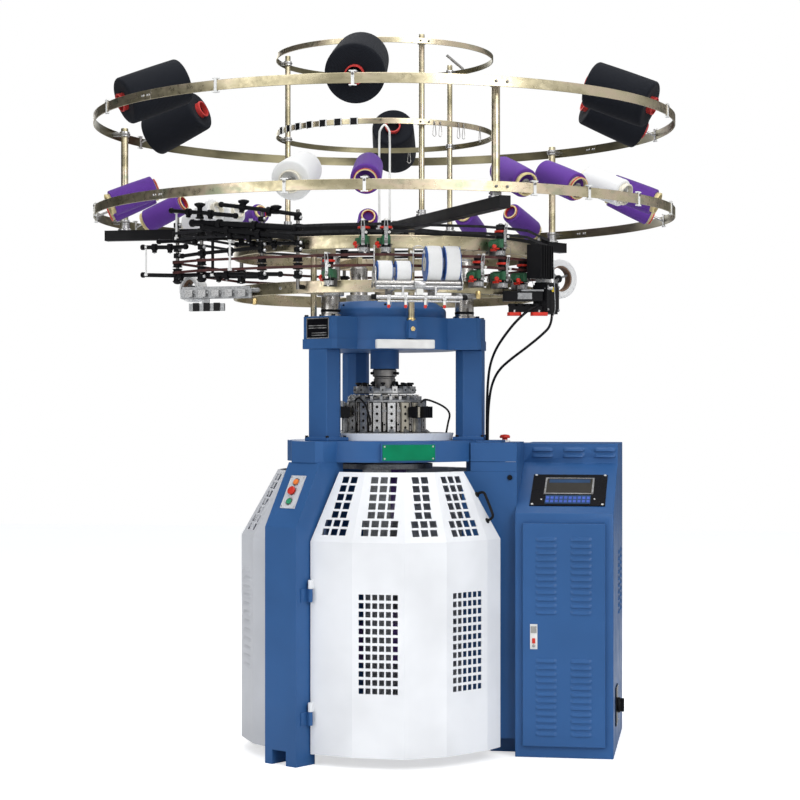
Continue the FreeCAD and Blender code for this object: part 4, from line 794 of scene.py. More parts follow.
# ---------------------------------------------------------------- guard doors
DOOR_PLAN = ((538.0, -111.8), (555.5, -93.2), (589.0, -73.4), (577.0, -56.8), (550.0, -35.2), (542.0, -25.4))
DOOR_LEAN = (141.0, 141.0, 135.0, 125.0, 123.0)
REAR_PLAN = ((538.0, 128.2), (558.0, 150.0), (570.0, 172.0), (570.0, 194.0), (558.0, 213.0), (538.0, 229.8))
SIDE_PLAN = ((535.0, 22.0), (548.0, 42.0), (568.0, 60.0), (568.0, 78.0), (552.0, 94.0), (538.0, 109.8))
DOOR_LEVELS = (42.0, 843.0, 1101.0)
HINGE_REACH, HINGE_SIDE = 545.0, 98.0
HINGE_LEVELS = ((616.0, 665.0, 699.0), (153.0, 203.0, 239.0))


def inward_of(start, end):
    along = end - start
    return Vector((-along.y, along.x, 0)).normalized()


def crossing(first, second):
    (p, n), (q, k) = first, second
    det = n.x * k.y - n.y * k.x
    a, b = n.dot(p), k.dot(q)
    return Vector(((a * k.y - b * n.y) / det, (n.x * b - k.x * a) / det, 0))


def panels_of(plan, lean, cut_first):
    """Corners of a guard's upright and leaning panels, from its hinge side on."""
    plan = [polar(radius, angle) for radius, angle in plan]
    count = len(plan) - 1
    inward = [inward_of(plan[k], plan[k + 1]) for k in range(count)]
    heads = [(plan[k] + inward[k] * lean[k], inward[k]) for k in range(count)]
    tops = [crossing(heads[k], heads[k + 1]) for k in range(count - 1)]
    along = (plan[1] - plan[0]).normalized()
    tops = [tops[0] - along * cut_first] + tops + [tops[-1]]
    low, bend_z, high = (UP * z for z in DOOR_LEVELS)
    upright = [(plan[k] + low, plan[k + 1] + low, plan[k + 1] + bend_z,
                plan[k] + bend_z) for k in range(count)]
    leaning = []
    for k in range(count):
        corners = [plan[k] + bend_z, plan[k + 1] + bend_z, tops[k + 1] + high, tops[k] + high]
        leaning.append(corners[:3] if (corners[2] - corners[3]).length < 1 else corners)
    return plan, upright, leaning


def rectangle(centre, across, up, width, height):
    a, b = across * width / 2, up * height / 2
    return [centre - a - b, centre + a - b, centre + a + b, centre - a + b]


def window_places(foot_a, foot_b, head_a, head_b, columns, sizes):
    """Five narrow rows of square windows above two wide ones."""
    across = (foot_b - foot_a).normalized()
    foot, head = (foot_a + foot_b) / 2, (head_a + head_b) / 2
    rise = head - foot
    up = (rise - across * rise.dot(across)).normalized()
    height = rise.dot(up)
    pitch, side = sizes.window_pitch / MM, sizes.window / MM
    holes = []
    for row in range(7):
        count = columns if row < 5 else columns + 1
        centre = foot + rise * ((height - 33.0 - row * pitch) / height)
        for column in range(count):
            spot = centre + across * (column - (count - 1) / 2) * pitch
            holes.append(rectangle(spot, across, up, side, side))
    return holes


def field_places(foot_a, foot_b, sizes):
    """A field of upright holes, six columns wide, in an upright panel."""
    across = (foot_b - foot_a).normalized()
    middle = (foot_a + foot_b) / 2
    middle.z = 0
    wide, tall = sizes.hole_wide / MM, sizes.hole_tall / MM
    holes = []
    for row in range(sizes.hole_rows):
        for column in range(6):
            spot = middle + across * (column - 2.5) * 26.0 + UP * (292.0 + row * 31.7)
            holes.append(rectangle(spot, across, UP, wide, tall))
    return holes


def sheet_metal(name, panels, finish, body, replaces, sizes):
    """Flat panels that share their fold lines, with holes through them, given the sheet's thickness."""
    mesh = bmesh.new()
    for corners, holes in panels:
        corners = list(corners)
        normal = (corners[1] - corners[0]).cross(corners[2] - corners[0])
        edges = []
        for outline in [corners] + holes:
            verts = [mesh.verts.new(point) for point in outline]
            edges += [mesh.edges.new((verts[k], verts[(k + 1) % len(verts)])) for k in range(len(verts))]
        made = bmesh.ops.triangle_fill(mesh, use_beauty=True, edges=edges, normal=normal)
        faces = [face for face in made["geom"] if isinstance(face, bmesh.types.BMFace)]
        for face in faces:
            if face.normal.dot(normal) < 0:
                face.normal_flip()
        # unique in their order, so that every run dissolves alike
        bmesh.ops.dissolve_limit(mesh, angle_limit=0.01,
                                 verts=list(dict.fromkeys(v for f in faces for v in f.verts)),
                                 edges=list(dict.fromkeys(e for f in faces for e in f.edges)))
    bmesh.ops.remove_doubles(mesh, verts=mesh.verts, dist=0.05)
    bmesh.ops.recalc_face_normals(mesh, faces=mesh.faces)
    if sum(face.normal.dot(face.calc_center_median()) for face in mesh.faces) < 0:
        bmesh.ops.reverse_faces(mesh, faces=mesh.faces)
    bmesh.ops.scale(mesh, vec=(MM, MM, MM), verts=mesh.verts)
    data = bpy.data.meshes.new(name)
    mesh.to_mesh(data)
    mesh.free()
    item = settle(data, name, finish, body, replaces)
    data.shade_flat()
    wall = item.modifiers.new("sheet", "SOLIDIFY")
    wall.thickness = sizes.sheet
    wall.offset = -1
    wall.use_even_offset = True
    return item


def knuckles(body, angle, name, finish, slot):
    """Door halves of two hinges, on their tabs."""
    hinges = Maker()
    turn = radial(angle)
    for _, joint, high in HINGE_LEVELS:
        hinges.turned([(4, 0), (8, 0), (9, 1.5), (9, high - joint - 3), (7.5, high - joint - 1),
                       (4, high - joint - 1)], 20, 0, turn @ at(HINGE_REACH, HINGE_SIDE, joint + 1))
        hinges.flat([(526, 88), (541, 92), (541, 102), (524, 98)], joint + 1, high, 0, turn)
        for z in (joint + 9, high - 9):
            hinges.screw_on(turn, (536, 90.5, z), (0.25, -1, 0), 3.2, 1.5, 1)
    return hinges.piece(name, (finish, "white_zinc"), body, slot, (), 0.0008)


def make_guard(name, body, plan, lean, cut_first, fields, windows, finish, slot, sizes):
    """A folded guard: upright panels, some with a field of holes, below leaning ones, some with windows."""
    plan, upright, leaning = panels_of(plan, lean, cut_first)
    panels = []
    for k, corners in enumerate(upright):
        panels.append((corners, field_places(plan[k], plan[k + 1], sizes) if k in fields else []))
    for columns, corners in zip(windows, leaning):
        head = corners[3] if len(corners) == 4 else corners[2]
        holes = window_places(*corners[:2], head, corners[2], columns, sizes) if columns else []
        panels.append((corners, holes))
    sheet_metal(name + "_sheet", panels, finish, body, (name,), sizes)
    return plan, upright


def make_guards(sizes):
    white, grey = ("guard_white", "white_paint"), ("guard_grey", "grey_paint")
    plan, upright = make_guard("front_door", "front_door", DOOR_PLAN, DOOR_LEAN, 113.0, (1, 3),
                               (2, 3, 2, 3, 0), *white, sizes)
    knuckles("front_door", LEFT_LEG, "front_door_knuckles", *white)
    door_trim(plan, upright)
    # two grey side guards with louvres along their upright panels, of which the left one swings
    _, upright = make_guard("rear_left_door", "rear_left_door", REAR_PLAN, [141.0] * 5, 60.0, (),
                            (0, 2, 2, 2, 0), *grey, sizes)
    knuckles("rear_left_door", LEG_ANGLES[1], "rear_left_door_knuckles", *grey)
    guard_louvres(upright, "rear_left_door")
    _, upright = make_guard("rear_right_guard", "frame", SIDE_PLAN, [141.0] * 5, 60.0, (),
                            (0, 0, 0, 0, 0), *grey, sizes)
    guard_louvres(upright, "frame")


def guard_louvres(upright, body):
    lies = []
    for corners in upright[1:4]:
        out = inward_of(corners[0], corners[1]) * -1
        middle = (corners[0] + corners[1]) / 2
        for row in range(12):
            spot = Vector((middle.x, middle.y, 330.0 + 34.0 * row)) + out * 0.2
            lies.append(facing(spot, out))
    item = Maker()
    hood(item, 110.0, 15.0, 6.0)
    name = "rear_left_door_louvres" if body == "rear_left_door" else "rear_right_guard_louvres"
    repeat(name, "points", item, "guard_grey", body, "grey_paint", lies=lies)


def hood(item, width, height, depth):
    """A pressed louvre on local XY, open along its lower edge, with rounded ends."""
    steps = 5
    rows = []
    for k in range(steps + 1):
        s = k / steps
        rows.append((height * (1 - s), depth * math.sin(s * math.pi / 2)))
    ends = (-0.5, -0.44, -0.36, 0.36, 0.44, 0.5)
    rise = (0.0, 0.75, 1.0, 1.0, 0.75, 0.0)
    points, faces = [], []
    for x, share in zip(ends, rise):
        points += [(x * width, y * (0.82 + 0.18 * share) if share < 1 else y, z * share) for y, z in rows]
    span = steps + 1
    for c in range(len(ends) - 1):
        for k in range(steps):
            a = c * span + k
            faces.append((a, a + 1, a + span + 1, a + span))
    # lip and back, so that the hood is closed
    count = len(points)
    points += [(x * width, 0.0, -0.15) for x in ends] + [(x * width, height, -0.15) for x in ends]
    low, high = count, count + len(ends)
    for c in range(len(ends) - 1):
        faces.append((c * span + steps, low + c, low + c + 1, (c + 1) * span + steps))
        faces.append((high + c, c * span, (c + 1) * span, high + c + 1))
        faces.append((low + c, high + c, high + c + 1, low + c + 1))
    faces.append(tuple(k for k in range(span)) + (low, high))
    last = (len(ends) - 1) * span
    faces.append(tuple(last + k for k in range(span))[::-1] + (high + len(ends) - 1, low + len(ends) - 1))
    item.add(points, faces)


def door_trim(plan, upright):
    """Handle and folded edge strips of the front door."""
    grip = Maker()
    outer, inner = plan[5], plan[4]
    out = inward_of(inner, outer) * -1
    foot = outer * 0.55 + inner * 0.45
    low = foot + UP * (DOOR_LEVELS[1] + 62) - out * 31
    high = foot + UP * (DOOR_LEVELS[1] + 176) - out * 84
    rise = (high - low).normalized()
    away = (out - rise * out.dot(rise)).normalized()
    grip.wire([low + rise * 8, low + rise * 8 + away * 20, low + rise * 16 + away * 33,
               low + rise * 40 + away * 35, high - rise * 40 + away * 35, high - rise * 16 + away * 33,
               high - rise * 8 + away * 20, high - rise * 8], 5.4, 0, 12, 5)
    for spot in (low + rise * 8, high - rise * 8):
        grip.turned([(11, -1), (11, 3), (8, 6), (6, 6)], 18, 0, facing(spot, away))
    grip.piece("front_door_handle", "black_plastic", "front_door", "black_plastic", ("door_handle",))
    strips = Maker()
    for start, end, panel in ((upright[0][0], upright[0][3], upright[0]),
                              (upright[4][1], upright[4][2], upright[4])):
        inward = inward_of(panel[0], panel[1])
        along = (panel[1] - panel[0]).normalized()
        side = 1 if start is upright[0][0] else -1
        a, b = start + UP * 2 + along * side * 1.2, end - UP * 4 + along * side * 1.2
        points = []
        for spot in (a, b):
            points += [spot + inward * 2.8, spot + inward * 18, spot + inward * 18 + along * side * 2.2,
                       spot + inward * 2.8 + along * side * 2.2]
        strips.add(points, [(0, 1, 2, 3), (7, 6, 5, 4), (0, 4, 5, 1), (1, 5, 6, 2), (2, 6, 7, 3),
                            (3, 7, 4, 0)])
    strips.piece("front_door_returns", "guard_white", "front_door", "white_paint")


# ---------------------------------------------------------------- cabinet
def make_cabinet(sizes):
    softened("cabinet_shell", "casting_blue", edge=sizes.edge * 1.2, angle=40)
    leaf = Maker()
    leaf.block(573, 891, -218, -201, 45, 902)
    leaf.piece("cabinet_door_leaf", "casting_blue", "cabinet_door", "blue_paint", ("cabinet_door",),
               edge=sizes.edge * 1.6)
    # two fields in the door, a band in the set-back front above it, a field in the right side
    out = Matrix.Rotation(math.pi / 2, 4, "X")
    for number, low in ((1, 88.0), (2, 555.0)):
        louvres("door_louvres_%d" % number, (82.0, 15.0, 6.0), "cabinet_door",
                at(731.5, -218.1, low + 140.25) @ out, Columns=2, Rows=12, Width=0.134, Height=0.2805)
    louvres("band_louvres", (82.0, 15.0, 9.5), "frame", at(745, 149.9, 1160) @ out,
            Columns=3, Rows=2, Width=0.25, Height=0.024)
    side = at(921.1, 300, 640) @ Matrix.Rotation(math.pi / 2, 4, "Z") @ out
    louvres("side_louvres", (90.0, 13.0, 6.0), "frame", side, Columns=2, Rows=10, Width=0.16, Height=0.24)
    fittings = Maker()
    # lock plate with its white lever and screw
    fittings.block(603, 631, -220.6, -217.5, 419, 515, 1)
    fittings.block(606, 628, -222.4, -220.6, 481, 507, 2)
    fittings.turned([(6, 0), (6, 3), (4.5, 4.5), (2, 4.5)], 16, 2,
                    facing((617, -220.6, 432), (0, -1, 0)))
    fittings.piece("door_lock_plate", ("casting_blue", "light_plastic", "bright_steel"), "cabinet_door",
                   "light_plastic", (), 0.0006)
    latch = Maker()
    latch.block(611, 623, -225, -212, 441, 461)
    latch.piece("latch_key", "signal_red", "latch_button", "red_plastic", ("latch_button",), 0.0015)
    make_drive_cover(sizes)
    make_electrics()


def louvres(name, size, body, place, **sizes):
    """A grid of pressed louvres in the cabinet's blue."""
    item = Maker()
    hood(item, *size)
    repeat(name, "grid", item, "casting_blue", body, "blue_paint", place, **sizes)


def make_drive_cover(sizes):
    """Sheets that close the space in front of the leg between the table and the console."""
    cover = Maker()
    cover.block(330, 545, -150, -147, 62, 1098)
    cover.block(364, 545, -150, -147, 1098, 1136)
    cover.block(364, 545, -153, -147, 1136.5, 1210)
    cover.block(364, 540, -147, -93, 1207, 1210)
    cover.block(486, 540, -93, 150, 1207, 1210)
    cover.block(541.5, 544.5, -147, 149.9, 930, 1210)
    cover.piece("drive_cover_sheets", "casting_blue", slot="blue_paint", edge=sizes.edge * 0.5)
    knob = Maker()
    knob.turned([(2, -0.5), (10, -0.5), (10, 6), (8, 9), (2, 10)], 20, 0,
                facing((518, -150, 1075), (0, -1, 0)))
    knob.piece("drive_cover_knob", "black_plastic", slot="black_plastic")


def make_electrics():
    """Control board with its drive, relays and supply, main switch and its plate."""
    board = Maker()
    board.block(607, 857, 535, 545, 110, 850)
    board.block(642, 778, 362, 520, 522, 778, 1)
    for k in range(9):
        board.block(646 + 14.6 * k, 650 + 14.6 * k, 360, 362, 560, 770, 2)
    board.block(632, 828, 442, 520, 362, 428, 3)
    for k in range(8):
        board.block(636 + 24 * k, 655 + 24 * k, 440.2, 442, 368, 422, 2)
    board.block(652, 798, 402, 520, 152, 288, 4)
    for x in (615, 849):
        for z in (120, 840):
            board.screw((x, 535, z), (0, -1, 0), 6, 3, 4)
    board.block(612, 622, 520, 535, 150, 800, 5)
    board.block(842, 852, 520, 535, 150, 800, 5)
    for x, y0, y1, z0, z1 in ((712, 520, 536, 288, 362), (712, 520, 536, 428, 522)):
        board.block(x - 30, x + 30, y0, y1, z0, z1, 5)
    board.piece("control_board_dressed", ("cast_grey", "light_plastic", "fin_black", "black_plastic",
                                          "white_zinc", "guard_grey"), "frame", "board", ("control_board",),
                0.0015)
    knob = Maker()
    place = facing((927, 0, 180), (1, 0, 0))
    knob.turned([(10, 0), (30, 0), (30, 9), (27, 12), (10, 12)], 36, 0, place)
    knob.flat(oblong(-7, 7, -26, 26), 12, 26, 0, place)
    knob.piece("main_switch_knob", "black_plastic", "main_switch", "red_plastic", ("main_switch",), 0.002)
    plate = Maker()
    plate.block(921.2, 926.3, -65, 65, 105, 255, 0)
    for y in (-56, 56):
        for z in (114, 246):
            plate.screw((926.3, y, z), (1, 0, 0), 4, 2, 1)
    # push-button plate on the operator's leg and the emergency-stop box
    middle = 1026
    button_plate(plate, [(z - middle) / math.cos(LEG_LEAN) for z in BUTTON_LEVELS], leg_face(middle))
    for z in BUTTON_LEVELS:
        plate.turned(oblong(12.4, 16, 2.9, 5.2), 28, 1, leg_face(z), True)
    plate.turned([(12.3, 1202.3), (34, 1202.3), (34, 1206), (22, 1206), (22, 1213), (20, 1215), (12.3, 1215)],
                 32, 2, at(*EMERGENCY_STOP, 0), True)
    plate.piece("switch_plates_dressed", ("panel_black", "white_zinc", "light_plastic", "guard_grey"),
                "frame", "light_plastic", ("switch_plates",), 0.0006)
    make_buttons()


def leg_face(z):
    """A place on the operator's leg, on its leaning outer face, whose Z points outwards."""
    reach = 605.0 - (z - 895.0) * math.tan(LEG_LEAN)
    return radial(LEFT_LEG) @ facing((reach, 0, z), (math.cos(LEG_LEAN), 0, math.sin(LEG_LEAN)))


def button_plate(plate, bores, face):
    """The leg's plate: two side strips and bridges round the three bores."""
    edges = [-69.0] + sorted(y + side * 12.5 for y in bores for side in (-1, 1)) + [69.0]
    plate.block(-37.5, -12.5, -69, 69, 0, 3, 3, face)
    plate.block(12.5, 37.5, -69, 69, 0, 3, 3, face)
    for low, high in zip(edges[::2], edges[1::2]):
        plate.block(-12.5, 12.5, low, high, 0, 3, 3, face)
    for x in (-31, 31):
        for y in (-62, 62):
            plate.screw_on(face, (x, y, 3), UP, 3.4, 1.8, 1)


def make_buttons():
    kinds = (("jog_button", "signal_orange", "orange_plastic"), ("stop_button", "signal_red", "red_plastic"),
             ("start_button", "button_green", "green_plastic"))
    for z, (name, finish, slot) in zip(BUTTON_LEVELS, kinds):
        cap = Maker()
        section = [(4, -9.9), (11.1, -9.9), (11.1, 8.4), (9.6, 9.8), (3, 9.8)]
        if name == "stop_button":
            section = [(4, -9.9), (11.1, -9.9), (11.1, 9.5), (16.8, 11.5), (16.8, 16), (14, 19), (4, 19.9)]
        cap.turned(section, 36, 0, leg_face(z))
        cap.piece(name + "_cap", finish, name, slot, (name,))
    stop = Maker()
    stop.turned([(4, 1216.2), (11, 1216.2), (11, 1222.5), (20, 1223), (22, 1228), (18, 1236), (4, 1238)], 40,
                0, at(*EMERGENCY_STOP, 0))
    stop.piece("emergency_stop_cap", "signal_red", "emergency_button", "red_plastic", ("emergency_button",))


# ---------------------------------------------------------------- creel
def band_section(radius, middle, width, wall=4.0):
    low, high, inner = middle - width / 2, middle + width / 2, radius - wall
    return [(radius - 0.8, low), (radius, low + 1), (radius, high - 1), (radius - 0.8, high), (inner, high),
            (inner, low)]


def make_creel():
    bars = Maker()
    for radius, sides, width, levels in ((OUTER_RING, 144, OUTER_WIDTH, OUTER_LEVELS),
                                         (INNER_RING, 96, INNER_WIDTH, INNER_LEVELS)):
        for z in levels:
            half = width / 2
            bars.turned(band_section(radius, z, width, 2.5), sides, 0, closed=True)
            # inward face of the band in the darker copy of the zinc
            bars.turned([(radius - 2.5, z - half), (radius - 2.5, z + half), (radius - 4, z + half),
                         (radius - 4, z - half)], sides, 1, closed=True)
    bars.piece("creel_bands", ("yellow_zinc", "zinc_dark_inward"), slot="zinc", replaces=("creel_rings",))
    joints = Maker()
    lies = []
    for z, angles in zip(OUTER_LEVELS, ((-124, 52.1), (-127.5, 49.3))):
        for angle in angles:
            turn = radial(angle)
            # inner joint plate in the darker copy of the zinc
            joints.block(1145, 1148.2, -62, 8, z - 16, z + 16, 0, turn)
            joints.block(1151.4, 1152.3, -1, 1, z - 17.5, z + 17.5, 1, turn)
            for y in (-9, -21, -42, -53):
                lies.append(turn @ at(1152.2 - y * y / 2304, y, z) @ Matrix.Rotation(math.pi / 2, 4, "Y"))
                lies.append(turn @ at(1145.2, y, z) @ Matrix.Rotation(-math.pi / 2, 4, "Y"))
    joints.piece("band_joints", ("zinc_dark_inward", "bright_steel"), slot="zinc", edge=0.0003)
    rivet = Maker()
    rivet.turned([(4.6, -0.5), (4.6, 0.8), (3.0, 2.2), (0.6, 2.6)], 10)
    repeat("band_rivets", "points", rivet, "white_zinc", slot="zinc", lies=lies)
    clips = Maker()
    for k in range(7):
        turn = radial(-96 - 8.5 * k)
        clips.block(434.3, 441, -13, 13, 2418, 2443, 0, turn)
        for y in (-15, 13.2):
            clips.block(434.3, 442, y, y + 1.8, 2416, 2444, 1, turn)
    for angle in (-54.9, -51.5, -40.1, -36.6, -22.7, 85.7):
        turn = radial(angle)
        clips.wire([turn @ Vector((436.5, y, z)) for y, z in ((0, 2436), (-7, 2384), (7, 2384), (1, 2436))],
                   1.4, 2, 6, 4)
    clips.wire([front(323.5, 290, 2750), front(289, 270, 2775), front(255, 250, 2800)], 6, 2, 10, 2)
    clips.piece("inner_ring_clips", ("black_plastic", "light_plastic", "bright_steel"), slot="zinc")
    make_posts()
    make_spider()


def make_posts():
    tubes = Maker()
    low = ARM_HIGH + 0.2
    for angle in ARM_ANGLES:
        for reach, radius, top in ((OUTER_STAND, 15, 2497), (INNER_STAND, 11, 2768)):
            spot = polar(reach, angle)
            tubes.turned([(radius, low), (radius, top - 2), (radius - 1.5, top), (radius - 3, top),
                          (radius - 3, top - 8)], 28, 0, Matrix.Translation(spot))
    for angle in ARM_ANGLES:
        tubes.turned([(12.5, 1685.2), (12.5, ARM_LOW - 0.2)], 24, 0, Matrix.Translation(polar(293.5, angle)))
    tubes.turned([(40, 1763.4), (40, ARM_LOW - 0.2)], 40, 0)
    tubes.piece("creel_posts_zinc", "yellow_zinc", slot="zinc", replaces=("creel_posts",), angle=50)
    pillars = Maker()
    for angle in LEG_ANGLES:
        spot = Matrix.Translation(polar(322, angle))
        pillars.turned([(45, 1698.3), (45, 1707), (37, 1709), (37, 1922), (35, 1925)], 40, 0, spot)
        pillars.turned([(37.6, 1716), (38.4, 1718), (38.4, 1724), (37.6, 1726)], 40, 1, spot)
    pillars.piece("feeder_ring_pillars", ("bright_steel", "satin_black"), slot="steel", angle=40)
    clamps = Maker()
    for angle in ARM_ANGLES:
        turn = radial(angle)
        for reach, radius, ring, thick, levels in ((OUTER_STAND, 15, OUTER_RING, 10, OUTER_LEVELS),
                                                   (INNER_STAND, 11, INNER_RING, 8, INNER_LEVELS)):
            for z in levels:
                spot = turn @ at(reach, 0, z)
                clamps.turned(oblong(radius + 0.2, radius + 5, -thick, thick), 28, 0, spot, True)
                clamps.block(reach + radius, ring - 4.2, -8, 8, z - thick + 1, z + thick - 1, 0, turn)
                bolt = radius + 6
                bend = [(reach - bolt * math.cos(k * math.pi / 6), bolt * math.sin(k * math.pi / 6))
                        for k in range(-3, 4)]
                bend = [(ring + 7, -bolt)] + bend + [(ring + 7, bolt)]
                clamps.wire([turn @ Vector((x, y, z)) for x, y in bend], radius * 0.2, 1, 8, 2)
                for y in (-bolt, bolt):
                    clamps.screw_on(turn, (ring, y, z), (1, 0, 0), radius * 0.36, 4, 1)
        for reach, radius in ((OUTER_STAND, 15), (INNER_STAND, 11)):
            spot = turn @ at(reach, 0, ARM_HIGH)
            clamps.turned([(radius + 0.2, 0.1), (radius + 12, 0.1), (radius + 12, 6), (radius + 5, 9),
                           (radius + 5, 23), (radius + 0.2, 23)], 28, 0, spot, True)
            clamps.screw(spot @ Vector((0, -radius - 5, 15)), turn.to_3x3() @ Vector((0, -1, 0)), 4, 5, 1)
    clamps.piece("post_clamps", ("white_zinc", "dull_steel"), slot="zinc", edge=0.0006)


def make_spider():
    arms = Maker()
    low, high, half = ARM_LOW, ARM_HIGH, (ARM_HIGH - ARM_LOW) / 2
    arms.turned([(40.3, low), (75, low), (75, high), (20, high)], 48, 0)
    for angle in ARM_ANGLES:
        turn = radial(angle)
        arms.block(40, ARM_REACH - 4, -half, half, low, high, 0, turn)
        arms.block(ARM_REACH - 3.8, ARM_REACH, -half - 0.5, half + 0.5, low - 0.5, high + 0.5, 1, turn)
        arms.screw_on(turn, (110, 0, high), UP, 9, 8, 2)
        arms.screw_on(turn, (1080, 0, high), UP, 7, 6, 2)
        arms.turned(oblong(8, 14, high, high + 3), 20, 2, turn @ at(110, 0, 0), True)
    for k in range(6):
        arms.screw(polar(60, 60 * k + 20, high), UP, 6, 6, 2)
    arms.piece("creel_arms", ("satin_black", "black_plastic", "dull_steel"), slot="black_paint",
               replaces=("creel_spider",), edge=0.0025)
    loops = Maker()
    # tall wire loops that lead the yarn down past the packages
    left, right, away = -18, 22, -300
    way = ((left, 2051), (left, 2200), (left, 2380), (left + 4, 2415), ((left + right) / 2, 2434),
           (right - 4, 2415), (right, 2380), (right, 2200), (right, 2051))
    loops.wire([front(x, away, z) for x, z in way], 4.2, 0, 12, 6)
    for x in (left, right):
        loops.turned(oblong(5, 9, 0, 14), 16, 1, Matrix.Translation(front(x, away, 2037)))
    loops.block(left - 12, right + 12, away - 6, away + 6, 2030, 2038, 1, FACING)
    loops.piece("yarn_loops", ("light_plastic", "white_zinc"), slot="steel")


# ---------------------------------------------------------------- yarn packages
# angle round the ring, radius at the foot, radius at the tip
BLACK_PLACES = ((-145, 90, 88), (-86, 106, 98), (-12, 91, 90), (22.5, 86, 84), (97, 97, 92), (164, 88, 84))
PURPLE_PLACES = ((-169.5, 50, 41), (-156, 50, 47), (-84, 54, 50), (-53.6, 52, 49), (-41.5, 52, 49),
                 (-8.6, 50, 48), (17, 44, 34), (62.5, 48, 44), (77, 50, 47), (104, 48, 44), (135.5, 48, 44),
                 (166, 49, 45))
WHITE_PLACES = ((-98, 73, 62), (-26.8, 51, 49), (143, 50, 48), (150.5, 55, 52))


def pin_place(angle, z):
    """A frame at a ring's inner face whose Z runs up the package pin, inwards and upwards."""
    rise = math.radians(22.0)
    return radial(angle) @ facing((1145, 0, z), (-math.cos(rise), 0, math.sin(rise)))


def wound(foot, tip, span, bore, shoulder):
    """Section of a wound package: flat ends that turn over a soft shoulder."""
    start, end = 64.0, 64.0 + span
    section = [(bore, start + 3), (foot * 0.55, start + 2), (foot - shoulder * 1.6, start)]
    for k in range(5):
        angle = math.pi / 2 * k / 4
        section.append((foot - shoulder + shoulder * math.sin(angle),
                        start + shoulder - shoulder * math.cos(angle)))
    for share in (0.2, 0.4, 0.6, 0.8):
        bulge = 1.0 * math.sin(math.pi * share)
        section.append((foot + (tip - foot) * share + bulge,
                        start + shoulder + (span - 2 * shoulder) * share))
    for k in range(5):
        angle = math.pi / 2 * k / 4
        section.append((tip - shoulder + shoulder * math.cos(angle),
                        end - shoulder + shoulder * math.sin(angle)))
    section += [(tip - shoulder * 1.6, end), (tip * 0.6, end - 1.5), (bore, end - 3)]
    return section


def make_packages():
    # ring level, length, bore, soft shoulder
    kinds = (
        ("black", BLACK_PLACES, OUTER_LEVELS[1], 250, 34, 11, "black_packages"),
        ("purple", PURPLE_PLACES, OUTER_LEVELS[0], 175, 31, 4, "purple_cones"),
        ("white", WHITE_PLACES, OUTER_LEVELS[0], 165, 31, 7, "white_cones"),
    )
    tubes, holders = Maker(), Maker()
    for kind, places, z, span, full_bore, shoulder, node in kinds:
        body = Maker()
        for number, (angle, foot, tip) in enumerate(places):
            bore = min(full_bore, tip - 9)
            place = pin_place(angle, z)
            body.turned(wound(foot, tip, span, bore + 0.3, shoulder), 48, 0, place)
            skin = {"black": 0, "white": 2}.get(kind, 1)
            base = bore if kind == "black" else min(bore + 9, foot - 8)
            low = 64 - (17 if kind != "black" else 19)
            high = 64 + span + (18 if kind != "purple" else 12)
            tubes.turned([(base - 4, low), (base, low), (base + 1.2, low + 2), (base + 1.2, low + 5),
                          (base, low + 7), (bore - 1, 64 + span - 8), (bore - 1, high - 6),
                          (bore + 0.8, high - 4), (bore + 0.8, high - 1), (bore - 1, high), (bore - 5, high),
                          (bore - 5, high - 30), (base - 4, low + 30)], 32, skin, place, True)
            if kind == "purple":
                tubes.turned(oblong(bore - 6, bore - 5.1, high - 29, high - 1), 32, 0, place, True)
                # a coloured band inside the far end, as the cones have
                tubes.turned(oblong(bore - 0.8, bore + 1.6, high - 7, high - 2),
                             32, 0 if number % 2 else 1, place, True)
                tubes.turned(oblong(base + 0.2, base + 2.2, low + 1, low + 6),
                             32, 1 if number % 2 else 0, place, True)
            # a dark disc across the middle of each tube's bore: painted shade inside the tube
            tubes.turned([(3, 64 + span * 0.5), (bore - 5.5, 64 + span * 0.5)], 24, 3, place)
            hold_package(holders, angle, z, place, span)
        body.piece(kind + "_yarn", "yarn_" + kind, slot=kind + "_yarn", replaces=(node,), angle=60)
    tubes.piece("cone_tubes", ("tube_red", "tube_yellow", "tube_cream", "painted_hollow_shade"), slot="tube_card",
                replaces=("package_tubes",), angle=40)
    ring_clip(holders, -111.4, OUTER_LEVELS[1])
    holders.piece("package_pins", ("white_zinc", "bright_steel", "dull_steel", "light_plastic"), slot="zinc",
                  replaces=("package_holders",))


def ring_clip(holders, angle, z):
    """The white clip that hooks over a ring: a stem between two wider flanges."""
    turn = radial(angle)
    holders.block(1152.2, 1155, -5.5, 5.5, z - 26, z + 26, 3, turn)
    holders.block(1144.5, 1147.8, -5.5, 5.5, z - 26, z + 26, 3, turn)
    for low in (z - 26, z + 22):
        holders.block(1144.5, 1155.5, -13, 13, low, low + 4, 3, turn)


def hold_package(holders, angle, z, place, span):
    """Pin with its spring wings, and the clip that hooks over the ring."""
    turn = radial(angle)
    ring_clip(holders, angle, z)
    holders.screw_on(turn, (1155, 0, z + 14), (1, 0, 0), 4.5, 3.5, 2)
    holders.turned([(5, -4), (5, 60), (4.4, 62), (4.4, 64 + span * 0.45), (1.5, 66 + span * 0.45)], 12, 1,
                   place)
    holders.turned([(5.5, 56), (17, 58), (17, 61), (5.5, 62)], 20, 0, place)
    for side in (-1, 1):
        holders.wire(local(place, (side * 3, 0, 46), (side * 15, 0, 66), (side * 22, 0, 96),
                           (side * 16, 0, 130)), 1.5, 1, 6, 3)


